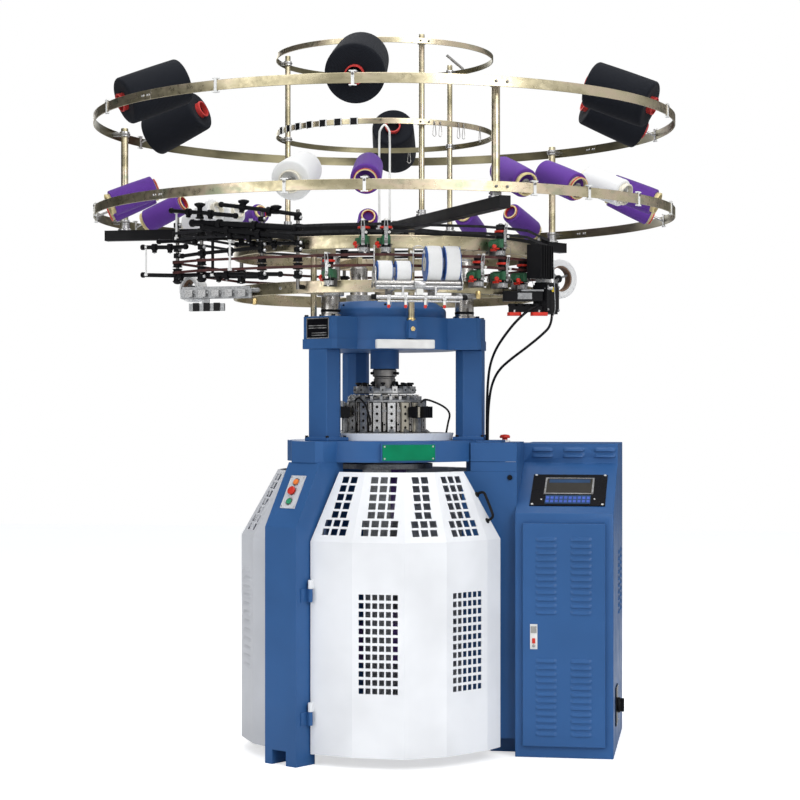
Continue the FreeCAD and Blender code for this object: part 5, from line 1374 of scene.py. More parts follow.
# ---------------------------------------------------------------- knitting head
def make_head():
    head = Maker()
    # flared foot with ribs, cam boxes with plates, channels between them with their shade painted near black
    head.turned([(128, 1218.1), (225, 1218.1), (225, 1223), (219, 1227), (172, 1249), (128, 1250)], 72, 0)
    # the ring behind the cam boxes in near black: painted shade in the channels between them
    head.turned([(128, 1250), (154.5, 1250), (154.5, 1366), (150, 1368), (128, 1368)], 72, 2, closed=True)
    for index in range(18):
        turn = radial(20 * index + 9)
        head.block(155, 165, -15.5, 15.5, 1252, 1366, 8 if index in (15, 16) else 1, turn)
        # four round sockets on each cam box in near black: painted shade in them
        for z in (1268, 1295, 1322, 1349):
            head.turned([(0.5, 165.3), (3.4, 165.3), (3.8, 165.2), (5.6, 165.2), (6.2, 164.6)], 12, 2,
                        turn @ at(0, 0, z) @ Matrix.Rotation(math.pi / 2, 4, "Y"))
        head.flat([(165, 1250), (165, 1262), (216, 1226), (216, 1219), (190, 1219)], -9, 9, 0,
                  turn @ Matrix.Rotation(math.pi / 2, 4, "X"))
        turn = radial(20 * index + 19)
        head.block(154, 160, -4, 4, 1254, 1364, 4, turn)
        head.rod(*local(turn, (163, 5, 1258), (163, 5, 1350)), 2.2, 4, 8)
        head.rod(*local(turn, (162, -6, 1290), (164, -6, 1372)), 1.6, 4, 8)
        head.block(150, 166, -8, 8, 1330, 1338, 0, turn)
        head.screw_on(turn, (160, 0, 1280), (1, 0, 0), 3.5, 3, 5)
    # ring of yarn carriers above the cam boxes
    head.turned([(124, 1368), (150, 1368), (150, 1376), (138, 1384), (124, 1384)], 72, 0, closed=True)
    for index in range(24):
        turn = radial(15 * index + 4)
        head.block(134, 148, -6, 6, 1372, 1392, 1 if index % 3 else 0, turn)
        head.rod(*local(turn, (141, 0, 1390), (133, 0, 1398)), 2.4, 4, 8)
        head.turned(oblong(1.4, 3.4, 0, 3), 10, 6,
                    turn @ facing((132, 0, 1395), (-1, 0, 0)), True)
    for angle in (-150, -30, 90):
        turn = radial(angle)
        head.block(161, 179, -9, 9, 1251, 1306, 0, turn)
        head.block(163, 221, -29, 29, 1306, 1351, 5, turn)
        for k in range(4):
            head.block(221, 222.6, -26 + 13.5 * k, -16 + 13.5 * k, 1311, 1346, 7, turn)
        head.block(168, 196, 29, 31, 1310, 1346, 1, turn)
        head.block(180, 204, -11, 11, 1351, 1374, 0, turn)
        side = 1 if angle < -90 else -1
        for near, far, finish in ((31.5, 44, 8), (46, 57, 5)):
            head.block(166, 206, min(side * near, side * far), max(side * near, side * far), 1308, 1349,
                       finish, turn)
        for y in (-22, 22):
            head.screw_on(turn, (200, y, 1351), UP, 3, 2, 4)
    for route in (((-114, -190, 1372), (-100, -206, 1384), (-76, -212, 1362), (-60, -216, 1320),
                   (-52, -218, 1283)), ((143, -150, 1366), (160, -140, 1378), (198, -120, 1368),
                                        (240, -95, 1346), (258, -75, 1320), (252, -62, 1285),
                                        (245, -60, 1247))):
        head.wire([front(*spot) for spot in route], 4, 5, 10, 4)
    finishes = ("cast_grey", "white_zinc", "painted_hollow_shade", "dull_steel", "bright_steel", "black_plastic",
                "ceramic_white", "fin_black", "plate_beige")
    head.piece("cam_ring_dressed", finishes, slot="cast", replaces=("cam_boxes",), edge=0.0005)
    dial = Maker()
    dial.turned(oblong(16, 57.5, 1501, 1572.8)[::-1], 48, 0, closed=True)
    dial.turned([(16, 1424), (44, 1424), (44, 1461), (41, 1463), (41, 1468), (44, 1470), (48, 1472),
                 (48, 1496), (44, 1501), (16, 1501)], 48, 1, closed=True)
    dial.turned([(16, 1402), (118, 1402), (122, 1405), (122, 1409), (114, 1424), (16, 1424)], 72, 2,
                closed=True)
    for index in range(16):
        turn = radial(22.5 * index + 6)
        dial.block(96, 124, -11, 11, 1404, 1431, 3 if index % 2 else 2, turn)
        dial.screw_on(turn, (124, 0, 1416), (1, 0, 0), 3.4, 2.6, 4)
        spot = turn @ at(108, 0, 1431)
        dial.turned([(3.5, 0), (3.5, 7), (8, 7), (9, 9), (9, 13), (7.5, 15), (2, 15.5)], 12, 4, spot)
        dial.rod(*local(turn, (97, 8, 1431), (97, 8, 1441)), 2.2, 1, 8)
        dial.block(78, 96, -3, 3, 1424, 1438, 4, turn)
    for angle in (-28, 20, 118, 205):
        turn = radial(angle)
        dial.turned([(1, 0), (6, 0), (6, 9), (3, 12), (1, 12)], 10, 4,
                    turn @ facing((43, 0, 1446), (1, 0, 0)))
        dial.turned([(1, 0), (6, 0), (6, 9), (3, 12), (1, 12)], 10, 4,
                    turn @ facing((47, 0, 1484), (1, 0, 0)))
    dial.piece("dial_cams_dressed", ("casting_blue", "dull_steel", "cast_grey", "white_zinc",
                                     "black_plastic"), slot="cast", replaces=("dial_housing",), edge=0.0005)
    needles = Maker()
    needles.turned(oblong(107, 120, 1125.2, 1384), 72, 0, closed=True)
    needles.piece("needle_cylinder_dressed", "dull_steel", "rotor", "steel", ("needle_cylinder",))
    item = Maker()
    item.block(-1.5, 0.8, -0.6, 0.6, 1200 - 1300, 1386 - 1300)
    repeat("needles", "ring", item, "bright_steel", "rotor", "steel", at(0, 0, 1300), Count=96, Radius=0.1204)
    plate = Maker()
    plate.turned([(12.9, 1386.2), (117, 1386.2), (118, 1388), (118, 1396), (116, 1398), (12.9, 1398),
                  (12.9, 1559)], 72)
    plate.piece("dial_dressed", "bright_steel", "rotor", "steel", ("dial",))


# ---------------------------------------------------------------- take-down and fabric
def make_takedown():
    softened("takedown_frame", "cast_grey", "rotor", 0.0015)
    for name, x in (("pull_roller_front", -24.5), ("pull_roller_rear", 24.5)):
        roller = Maker()
        place = facing((x, 0, 800), (0, 1, 0))
        roller.turned([(7, -185.4), (7, -175.5), (20, -175.5), (22, -174), (22, 174), (20, 175.5), (7, 175.5),
                       (7, 185.4)], 40, 0, place)
        roller.piece(name + "_dressed", "bright_steel", name, "steel", (name,))
    cloth = Maker()
    place = facing((0, 0, 420), (0, 1, 0))
    cloth.turned([(7, -185.4), (7, -175.4), (14, -175.4), (14, -168)], 24, 1, place)
    cloth.turned([(14, 168), (14, 175.4), (7, 175.4), (7, 185.4)], 24, 1, place)
    section = [(14.2, -160), (60, -161), (98, -160), (104, -157)]
    section += [(105 - 0.8 * math.cos(math.pi * k / 6), -152 + 304 * k / 12) for k in range(13)]
    section += [(104, 157), (98, 160), (60, 161), (14.2, 160)]
    cloth.turned(section, 64, 0, place)
    cloth.piece("cloth_roll_dressed", ("knitted_purple", "bright_steel"), "fabric_roll", "knit",
                ("fabric_roll",), angle=50)
    rows = ((1376, 96, 96, 1), (1300, 95, 95, 2), (1150, 94, 95, 3), (1050, 84, 106, 5), (960, 60, 124, 6),
            (890, 28, 140, 4), (845, 7, 149, 1.2), (825, 2.4, 151, 0.2), (780, 1.6, 151.5, 0),
            (650, 1.6, 151.5, 0), (533, 1.6, 151.5, 0))
    tube = Maker()
    sides = 72
    points, faces, wraps = [], [], []
    for z, across, along, fold in rows:
        for k in range(sides):
            angle = 2 * math.pi * k / sides
            wave = 1 - fold * 0.5 * (1 - math.cos(8 * angle)) / max(across, 20)
            points.append((across * wave * math.cos(angle), along * wave * math.sin(angle), z))
    for row in range(len(rows) - 1):
        for k in range(sides):
            n = (k + 1) % sides
            a = row * sides
            faces.append((a + k, a + n, a + sides + n, a + sides + k))
            u0, u1, v0, v1 = k * 0.0084, (k + 1) * 0.0084, rows[row][0] * MM, rows[row + 1][0] * MM
            wraps.append(((u0, v0), (u1, v0), (u1, v1), (u0, v1)))
    tube.add(points, faces, 0, wraps=wraps)
    item = tube.piece("knitted_tube", "knitted_purple", "rotor", "knit", ("fabric_tube",), angle=80)
    wall = item.modifiers.new("cloth", "SOLIDIFY")
    wall.thickness = 0.0008
    wall.offset = 0


# ---------------------------------------------------------------- yarn feeders
UPPER_FEEDERS = (-87.3, -80.1, -38.5)
LOWER_FEEDERS = (-99.0, -48.0, -37.5, -26.5)
BACK_IDLERS = (15.0, 65.0, 115.0, 165.0)
TENSIONER = ((-318.0, -556.0), (-455.0, -503.0), (-695.0, -366.0), (-800.0, -250.0))


def make_feeders():
    rings = Maker()
    for low, high in ((1935, 1985), (1773, 1819)):
        rings.turned([(600, low), (602, low + 2), (602, high - 2), (600, high), (590, high), (590, low)], 128,
                     0, closed=True)
        for angle in LEG_ANGLES:
            turn = radial(angle)
            inner = 352 if low < 1900 else 302
            rings.block(inner, 593, -9, 9, low + 8 if low < 1900 else low,
                        high - 8 if low < 1900 else low + 34, 0, turn)
            rings.screw_on(turn, (602, 0, (low + high) / 2), (1, 0, 0), 7, 5, 1)
            if low < 1900:
                rings.turned(oblong(37.4, 52, 1779, 1812), 32, 1, turn @ at(322, 0, 0), True)
            else:
                rings.turned(oblong(8, 30, 1925, 1935), 28, 1, turn @ at(322, 0, 0), True)
    rings.piece("feeder_bands", ("yellow_zinc", "white_zinc"), slot="zinc", replaces=("feeder_rings",),
                edge=0.0008)
    bodies = Maker()
    for row, disc, angles in (("upper", 2007, UPPER_FEEDERS), ("lower", 1887, LOWER_FEEDERS)):
        for number, angle in enumerate(angles, start=1):
            feeder_body(bodies, angle, disc, row)
            feeder_spindle("%s_feeder_wheel_%d" % (row, number), angle, disc)
    finishes = ("feeder_green", "white_zinc", "black_plastic", "signal_red", "ceramic_white", "dull_steel",
                "brass")
    bodies.piece("feeder_bodies", finishes, slot="green_plastic", replaces=("feeder_housings",), edge=0.0008)


def feeder_body(bodies, angle, disc, row):
    """Green moulded body with its clamp, stop levers, brake and eyelets."""
    turn = radial(angle)
    low, high = disc - 62, disc - 31
    plan = [(607, -15), (610, -17), (660, -17), (668, -13), (672, -8), (672, -6.5), (643.5, -6.5),
            (643.5, 6.5), (672, 6.5), (672, 8), (668, 13), (660, 17), (610, 17), (607, 15)]
    bodies.flat(plan, low, high, 0, turn)
    bodies.flat([(x - 1.5 if x > 640 else x + 2, y * 0.86) for x, y in plan], high, high + 3, 0, turn)
    bodies.flat([(614, -30), (640, -34), (652, -26), (652, -15), (614, -15)], low + 6, high - 6, 0, turn)
    # clamp plate with its screw behind the ring
    bodies.block(602.2, 607, -17, 17, disc - 92, disc - 31, 5, turn)
    bodies.block(580, 589.6, -10, 10, disc - 80, disc - 40, 5, turn)
    foot = disc - (92 if row == "lower" else 82)
    bodies.block(580, 607, -10, 10, foot, foot + 8, 5, turn)
    bodies.screw_on(turn, (580, 0, disc - 58), (-1, 0, 0), 7, 8, 6)
    # black lower drum
    bodies.turned([(22, low - 2), (24.5, low - 2), (24.5, low), (15, low), (15, low - 2)][::-1], 28, 2,
                  turn @ at(FEEDER_REACH, 0, 0), True)
    # red brake at the side, steel stop lever with a white eyelet in front
    bodies.turned([(2, 0), (7.5, 0), (9, 1.5), (9, 5), (7, 7), (2, 7)], 18, 3,
                  turn @ facing((648, -31, low + 3), (0.6, -0.5, 0.35)))
    bodies.block(630, 654, -34, -24, low - 12, low - 3, 3, turn)
    bodies.block(646, 664, -33, -20, low - 6, low - 1, 3, turn)
    bodies.block(672, 674.4, -6, 6, low - 4, high + 34, 1, turn)
    for y in (-7, 7):
        bodies.rod(*local(turn, (674, y, high + 20), (681, y * 0.6, high + 62)), 2.2, 1, 8)
    bodies.turned([(2.4, -3), (6, -3), (6.8, 0), (6, 3), (2.4, 3)], 18, 4,
                  turn @ facing((682, 0, high + 58), (0, 0, 1)), True)
    bodies.turned(oblong(2, 5, -2, 2), 16, 4, turn @ facing((678, 12, high + 12), (1, 0, 0)),
                  True)
    bodies.wire(local(turn, (668, 12, low + 8), (682, 18, low), (686, 16, low - 18), (680, 9, low - 30)), 1.1,
                5, 6, 4)
    bodies.wire(local(turn, (668, -12, low), (680, -20, low - 10), (682, -16, low - 28)),
                1.1, 5, 6, 4)
    bodies.turned(oblong(1.6, 4.4, -2, 2), 14, 4,
                  turn @ facing((680, 8, low - 31), (0, 0.3, 1)), True)
    bodies.block(674, 680, -6, 6, low + 4, low + 14, 5, turn)
    bodies.screw_on(turn, (676, 0, low + 20), (1, 0, 0), 3, 2, 5)


def feeder_spindle(name, angle, disc):
    wheel = Maker()
    place = Matrix.Translation(polar(FEEDER_REACH, angle))
    wheel.turned([(4, disc + 26), (16, disc + 26), (18, disc + 24), (18, disc + 6), (23, disc + 4),
                  (23, disc - 4), (18, disc - 6), (18, disc - 24), (16, disc - 26), (5, disc - 26),
                  (5, disc - 68)], 32, 0, place)
    wheel.turned([(18.1, disc + 5), (23.1, disc + 4.1), (23.6, disc + 3), (23.6, disc - 3),
                  (23.1, disc - 4.1), (18.1, disc - 5)], 32, 1, place, True)
    wheel.turned([(4, disc + 26), (9, disc + 26.4), (9, disc + 29), (6, disc + 31), (4, disc + 31)], 20, 3,
                 place)
    wheel.turned([(4, disc - 67), (20, disc - 67), (20.4, disc - 70), (19, disc - 72), (4, disc - 72)], 28, 2,
                 place)
    wheel.turned([(4, disc - 90), (19, disc - 90), (20, disc - 91), (20, disc - 93), (4, disc - 93)], 28, 2,
                 place)
    wheel.turned([(13.5, disc - 72), (15, disc - 78), (14, disc - 86), (14, disc - 90)], 24, 4, place)
    for k in range(12):
        spot = place @ polar(17.6, 30 * k, disc - 91)
        wheel.rod(spot, spot + UP * 20, 1.3, 3, 6)
    wheel.piece(name + "_dressed", ("black_plastic", "signal_red", "fin_black", "white_zinc", "yarn_white"),
                name, "black_plastic", (name,), angle=40)


def loop_round(circles, gap, steps=24):
    """The tight course of a belt round every wheel."""
    points = []
    for middle, radius in circles:
        reach = radius + gap
        points += [(middle.x + reach * math.cos(2 * math.pi * k / steps),
                    middle.y + reach * math.sin(2 * math.pi * k / steps)) for k in range(steps)]
    ordered = sorted(points)
    course = []
    for run in (ordered, ordered[::-1]):
        side = []
        for point in run:
            while len(side) > 1 and ((side[-1][0] - side[-2][0]) * (point[1] - side[-1][1])
                                     - (side[-1][1] - side[-2][1]) * (point[0] - side[-1][0])) <= 0.02:
                side.pop()
            side.append(point)
        course += side[:-1]
    return course


def make_belts():
    circles = [(polar(FEEDER_REACH, angle), 18.0) for angle in UPPER_FEEDERS + LOWER_FEEDERS]
    circles += [(front(x, y), 17.0) for x, y in TENSIONER]
    circles += [(polar(FEEDER_REACH, angle), 17.0) for angle in BACK_IDLERS]
    outer = loop_round(circles, 2.4)
    belts = Maker()
    for level, finish in ((2019, 0), (1994, 0), (1907, 1), (1868, 1)):
        low, high = level - 5, level + 5
        # the outer face runs on the outer course, the inner face on the same course moved in
        count = len(outer)
        inside = []
        for k, (x, y) in enumerate(outer):
            before, after = outer[k - 1], outer[(k + 1) % count]
            normal = Vector((after[1] - before[1], before[0] - after[0], 0)).normalized()
            inside.append((x - normal.x * 2.0, y - normal.y * 2.0))
        points = [(x, y, z) for course in (outer, inside) for z in (low, high) for x, y in course]
        faces = []
        for k in range(count):
            n = (k + 1) % count
            a, b, c, d = 0, count, 2 * count, 3 * count
            faces += [(a + k, a + n, b + n, b + k), (c + n, c + k, d + k, d + n),
                      (b + k, b + n, d + n, d + k), (a + n, a + k, c + k, c + n)]
        belts.add(points, faces, finish)
    belts.piece("feeder_belts", ("belt_black", "belt_brown"), slot="rubber", replaces=("drive_belts",),
                angle=50)


def rail_depth(across):
    """Depth of the line through the tensioner's shafts, as the operator sees it."""
    spots = ((-940.0, -220.0),) + TENSIONER[::-1] + ((-200.0, -590.0),)
    for (x0, y0), (x1, y1) in zip(spots[:-1], spots[1:]):
        if x0 <= across <= x1:
            return y0 + (y1 - y0) * (across - x0) / (x1 - x0)
    return spots[0][1] if across < spots[0][0] else spots[-1][1]


def rail(across, z, out=0.0):
    """A point on the tensioner, given across and up, out towards the operator."""
    return front(across, rail_depth(across) - out, z)


def make_tensioner():
    frame_bars = Maker()
    for x, y in TENSIONER:
        spot = Matrix.Translation(front(x, y))
        frame_bars.turned([(6, 1836), (7, 1840), (7, 2080), (6, 2083)], 20, 3, spot)
        idler_stack(frame_bars, spot)
        for z in (1958, 1934, 2052, 1846):
            frame_bars.turned([(7.2, z - 9), (14, z - 9), (15, z - 7), (15, z + 7), (14, z + 9),
                               (7.2, z + 9)], 24, 0, spot, True)
            frame_bars.turned([(3, 0), (6.5, 0), (6.5, 8), (3, 9)], 12, 2,
                              facing(front(x + 9, y - 12, z), front(0.5, -1, 0)))
        frame_bars.turned([(7.2, 1838), (18, 1838), (19, 1834), (12, 1826), (3, 1824)][::-1], 24, 0, spot)
    bars = (  # across and up of both ends, radius
        ((-824, 2107), (-553, 2067), 8), ((-618, 2115), (-309, 2061), 8), ((-880, 1992), (-330, 1988), 7),
        ((-941, 1969), (-760, 1966), 8), ((-941, 1862), (-381, 1844), 8), ((-735, 2052), (-326, 2012), 12),
        ((-640, 2006), (-420, 1972), 7), ((-560, 1964), (-318, 1960), 7), ((-780, 1930), (-455, 1944), 7),
        ((-700, 1850), (-440, 1838), 9), ((-690, 2030), (-330, 1976), 10), ((-590, 1986), (-400, 1996), 6),
    )
    for number, ((x0, z0), (x1, z1), radius) in enumerate(bars):
        out = (26, 14, -22, 8, 2, 24, 22, -20, 16, -18, 28, -24)[number]
        steps = [x0 + (x1 - x0) * k / 4 for k in range(5)]
        way = [rail(x, z0 + (z1 - z0) * k / 4, out) for k, x in enumerate(steps)]
        for start, end in zip(way[:-1], way[1:]):
            frame_bars.rod(start, end, radius, 0, 14)
        for spot, nxt in ((way[0], way[1]), (way[-1], way[-2])):
            frame_bars.turned([(radius, -4), (radius + 3, 0), (radius + 3, 9), (radius, 12)], 16, 0,
                              facing(spot, nxt - spot))
        for k, share in enumerate((0.28, 0.62)):
            spot = rail(x0 + (x1 - x0) * share, z0 + (z1 - z0) * share, out)
            clamp(frame_bars, spot, way[-1] - way[0], radius)
    for x, z0, z1, radius, out in ((-924, 1969, 1862, 3.2, 10), (-802, 2101, 2000, 4, 20),
                                   (-579, 1973, 1867, 4.5, 30), (-500, 2052, 1990, 4, -12),
                                   (-650, 2038, 1850, 6, 4)):
        frame_bars.rod(rail(x, z0, out), rail(x, z1, out), radius, 1 if radius < 6 else 0, 12)
        for z in (z0, z1):
            frame_bars.turned(oblong(2, radius + 4, -5, 5), 14, 1, Matrix.Translation(rail(x, z, out)))
    for x, top, foot in ((-701, 2127, 2070), (-526, 2128, 2094), (-400, 2101, 2072)):
        spot = Matrix.Translation(rail(x, 0, 16))
        frame_bars.turned([(8, foot), (12, foot + 4), (9, top - 22), (11, top - 18), (21, top - 10),
                           (21, top - 4), (10, top), (3, top)], 24, 0, spot)
        frame_bars.turned([(8, foot - 4), (15, foot - 4), (16, foot - 2), (16, foot + 2), (8, foot + 4)], 24,
                          0, spot)
    # bars that hold the whole to the feeder ring
    for z in (1948, 1796):
        frame_bars.rod(front(-318, -556, z), front(-295, -514, z), 9, 0, 14)
    frame_bars.rod(front(-318, -556, 1786), front(-318, -556, 1845), 7, 3, 14)
    for angle in BACK_IDLERS:
        spot = Matrix.Translation(polar(FEEDER_REACH, angle))
        idler_stack(frame_bars, spot)
        frame_bars.turned([(7.5, 1858), (7.5, 2026)], 20, 3, spot)
        frame_bars.block(602, 650, -8, 8, 1950, 1966, 0, radial(angle))
        frame_bars.screw(radial(angle) @ Vector((612, 0, 1966)), UP, 5, 4, 2)
    frame_bars.piece("belt_tensioner_dressed", ("satin_black", "light_plastic", "white_zinc", "dull_steel"),
                     slot="black_paint", replaces=("belt_tensioner",), angle=40)


def idler_stack(bars, spot):
    """Four flanged belt idlers on one shaft."""
    for low, high in ((2006, 2029), (1984, 2004), (1889, 1915), (1860, 1884)):
        bars.turned([(8, low), (15, low), (19.5, low + 1), (19.5, low + 3), (16.4, low + 5), (16.4, high - 5),
                     (19.5, high - 3), (19.5, high - 1), (15, high), (8, high)], 28, 0, spot)


def clamp(bars, spot, along, radius):
    """A split clamp with a bright screw."""
    place = facing(spot, along)
    reach = radius + 6
    bars.turned([(radius + 0.2, -9), (reach - 1, -9), (reach, -8), (reach, 8), (reach - 1, 9),
                 (radius + 0.2, 9)], 16, 0, place, True)
    bars.block(-5, 5, -reach - 7, -reach + 2, -8, 8, 0, place)
    bars.screw_on(place, (0, -reach - 7, 0), (0, -1, 0), 4, 3, 2)


# ---------------------------------------------------------------- elastic-yarn unit
UNIT = radial(-71.5) @ at(750, 0, 0)
ALONG_UNIT = Matrix.Rotation(-math.pi / 2, 4, "X")


def unit_turned(maker, x, z, section, sides=24, finish=0, closed=False):
    """A turned piece whose axis lies along the unit."""
    maker.turned(section, sides, finish, UNIT @ at(x, 0, z) @ ALONG_UNIT, closed)


def make_elastic_unit():
    z = 1796.0
    unit = Maker()
    for side in (-1, 1):
        y0, y1 = side * 158 - 1.5, side * 158 + 1.5
        plan = [(-45, z - 24), (45, z - 24), (48, z - 18), (48, z + 10), (36, z + 20), (36, z + 46),
                (26, z + 60), (-34, z + 60), (-45, z + 48)]
        points = [(x, y0, h) for x, h in plan] + [(x, y1, h) for x, h in plan]
        count = len(plan)
        faces = [tuple(range(count)), tuple(range(count, 2 * count))[::-1]]
        faces += [(k, (k + 1) % count, count + (k + 1) % count, count + k) for k in range(count)]
        unit.add(points, faces, 0, UNIT)
        unit.rod(*local(UNIT, (0, side * 158, z + 55), (0, side * 158, z + 138)), 2.6, 0, 10)
        for x, h in ((30, z - 10), (-30, z - 10), (20, z + 40)):
            unit.screw_on(UNIT, (x, y1 if side > 0 else y0, h), (0, side, 0), 5, 4, 1)
    for x in (40, -40):
        unit_turned(unit, x, z - 14, [(5, -157), (5, 157)], 20)
    unit_turned(unit, 45, z - 52, [(7, -158), (7, 158)], 24)
    for side in (-1, 1):
        unit_turned(unit, 45, z - 52, [(7, side * 158), (10, side * 158), (10, side * 172), (8, side * 176)],
                    24, 2)
    unit_turned(unit, 38, z - 66, [(4, -150), (4, 150)], 16)
    for y in (-60, 60):
        unit.block(41, 49, y - 4, y + 4, z - 50, z - 12, 0, UNIT)
    for y in (-112, -50, 22, 92):
        unit.block(39, 52, y - 6, y + 6, z - 62, z - 44, 0, UNIT)
        unit.block(42, 48, y - 4.5, y + 4.5, z - 80, z - 60, 3, UNIT)
        unit.turned([(2, z - 92), (5.5, z - 90), (6.2, z - 84), (5, z - 80), (2, z - 80)], 16, 4,
                    UNIT @ at(45, y, 0))
        unit.wire(local(UNIT, (45, y + 3, z - 60), (52, y + 8, z - 68), (50, y + 6, z - 84)), 1.2, 0, 6, 3)
    # central drive housing in front of the rollers, its cap and bracket
    unit_turned(unit, 52, z - 7, [(3, -18), (13, -20), (15, -17), (15, 17), (13, 20), (3, 18)], 32)
    unit.block(44, 56, -12, 12, z - 44, z - 22, 3, UNIT)
    unit.block(43, 51, -16, 16, z - 34, z - 28, 0, UNIT)
    for y in (-80, 80):
        unit.block(-146, -36, y - 6, y + 6, z - 22, z - 10, 0, UNIT)
        unit.block(-152, -146, y - 14, y + 14, z - 34, z + 2, 1, UNIT)
    # wire bow above the gap between the bobbins, with eyelets
    unit.wire(local(UNIT, (10, -16, z + 40), (10, -16, z + 118), (10, -8, z + 134), (10, 14, z + 134),
                    (10, 24, z + 118), (10, 24, z + 70)), 2.0, 0, 8, 4)
    unit.block(4, 16, -24, 30, z + 108, z + 112, 0, UNIT)
    for y in (-26, -18, 22, 30):
        unit.turned(oblong(2.4, 5, -2, 2), 16, 3, UNIT @ at(16, y, z + 113) @ ALONG_UNIT, True)
    unit.piece("elastic_unit_dressed", ("white_zinc", "dull_steel", "black_plastic", "ceramic_white",
                                        "signal_red"), slot="steel", replaces=("elastic_unit_frame",),
               edge=0.0006, angle=40)
    for name, x in (("elastic_roller_front", 28.0), ("elastic_roller_rear", -28.0)):
        roller = Maker()
        unit_turned(roller, x, z, [(6, -164), (6, -155), (9, -155), (10, -154), (10, 154), (9, 155), (6, 155),
                                   (6, 164)], 28)
        roller.piece(name + "_dressed", "bright_steel", name, "steel", (name,))
    for name, radius, starts in (("small_bobbins", 40.0, (-150, -82)), ("large_bobbins", 66.0, (28, 95))):
        reach = radius + 10.6
        height = z + math.sqrt(reach ** 2 - 28.0 ** 2)
        bobbins = Maker()
        core = radius * 0.4
        for start in starts:
            section = [(core, start + 3), (radius - 2, start + 3), (radius - 0.6, start + 4.5)]
            section += [(radius - 0.4 + 0.4 * math.sin(math.pi * k / 6),
                         start + 5 + 47 * k / 6) for k in range(7)]
            section += [(radius - 0.6, start + 52.5), (radius - 2, start + 54), (core, start + 54)]
            unit_turned(bobbins, 0, height, section, 56, 0)
            for y0, y1 in ((start, start + 3), (start + 54, start + 57)):
                unit_turned(bobbins, 0, height, [(core - 5, y0), (radius - 5, y0), (radius - 4, y0 + 1),
                                                 (radius - 4, y1 - 1), (radius - 5, y1), (core - 5, y1)], 48,
                            1, True)
                for k in range(12):
                    tooth = UNIT @ at(0, 0, height) @ ALONG_UNIT @ radial(30 * k)
                    bobbins.block(radius - 6, radius - 1, -3.5, 3.5, y0 + 0.5, y1 - 0.5, 1, tooth)
        unit_turned(bobbins, 0, height, oblong(core - 6, core - 1, starts[0] - 3, starts[1] + 60), 32, 2,
                    True)
        bobbins.piece(name + "_dressed", ("yarn_white", "bobbin_blue", "tube_cream"), name, "white_yarn",
                      (name,), angle=40)


# ---------------------------------------------------------------- side units
# frame on the spool's axis, outer and inner radius, half its length
SPOOLS = ((facing(front(674, -245, 1845), front(0.5, -0.86, 0)), 76, 50, 22),
          (facing(front(-745, -190, 1808), front(-0.6, -0.8, 0)), 50, 38, 30))


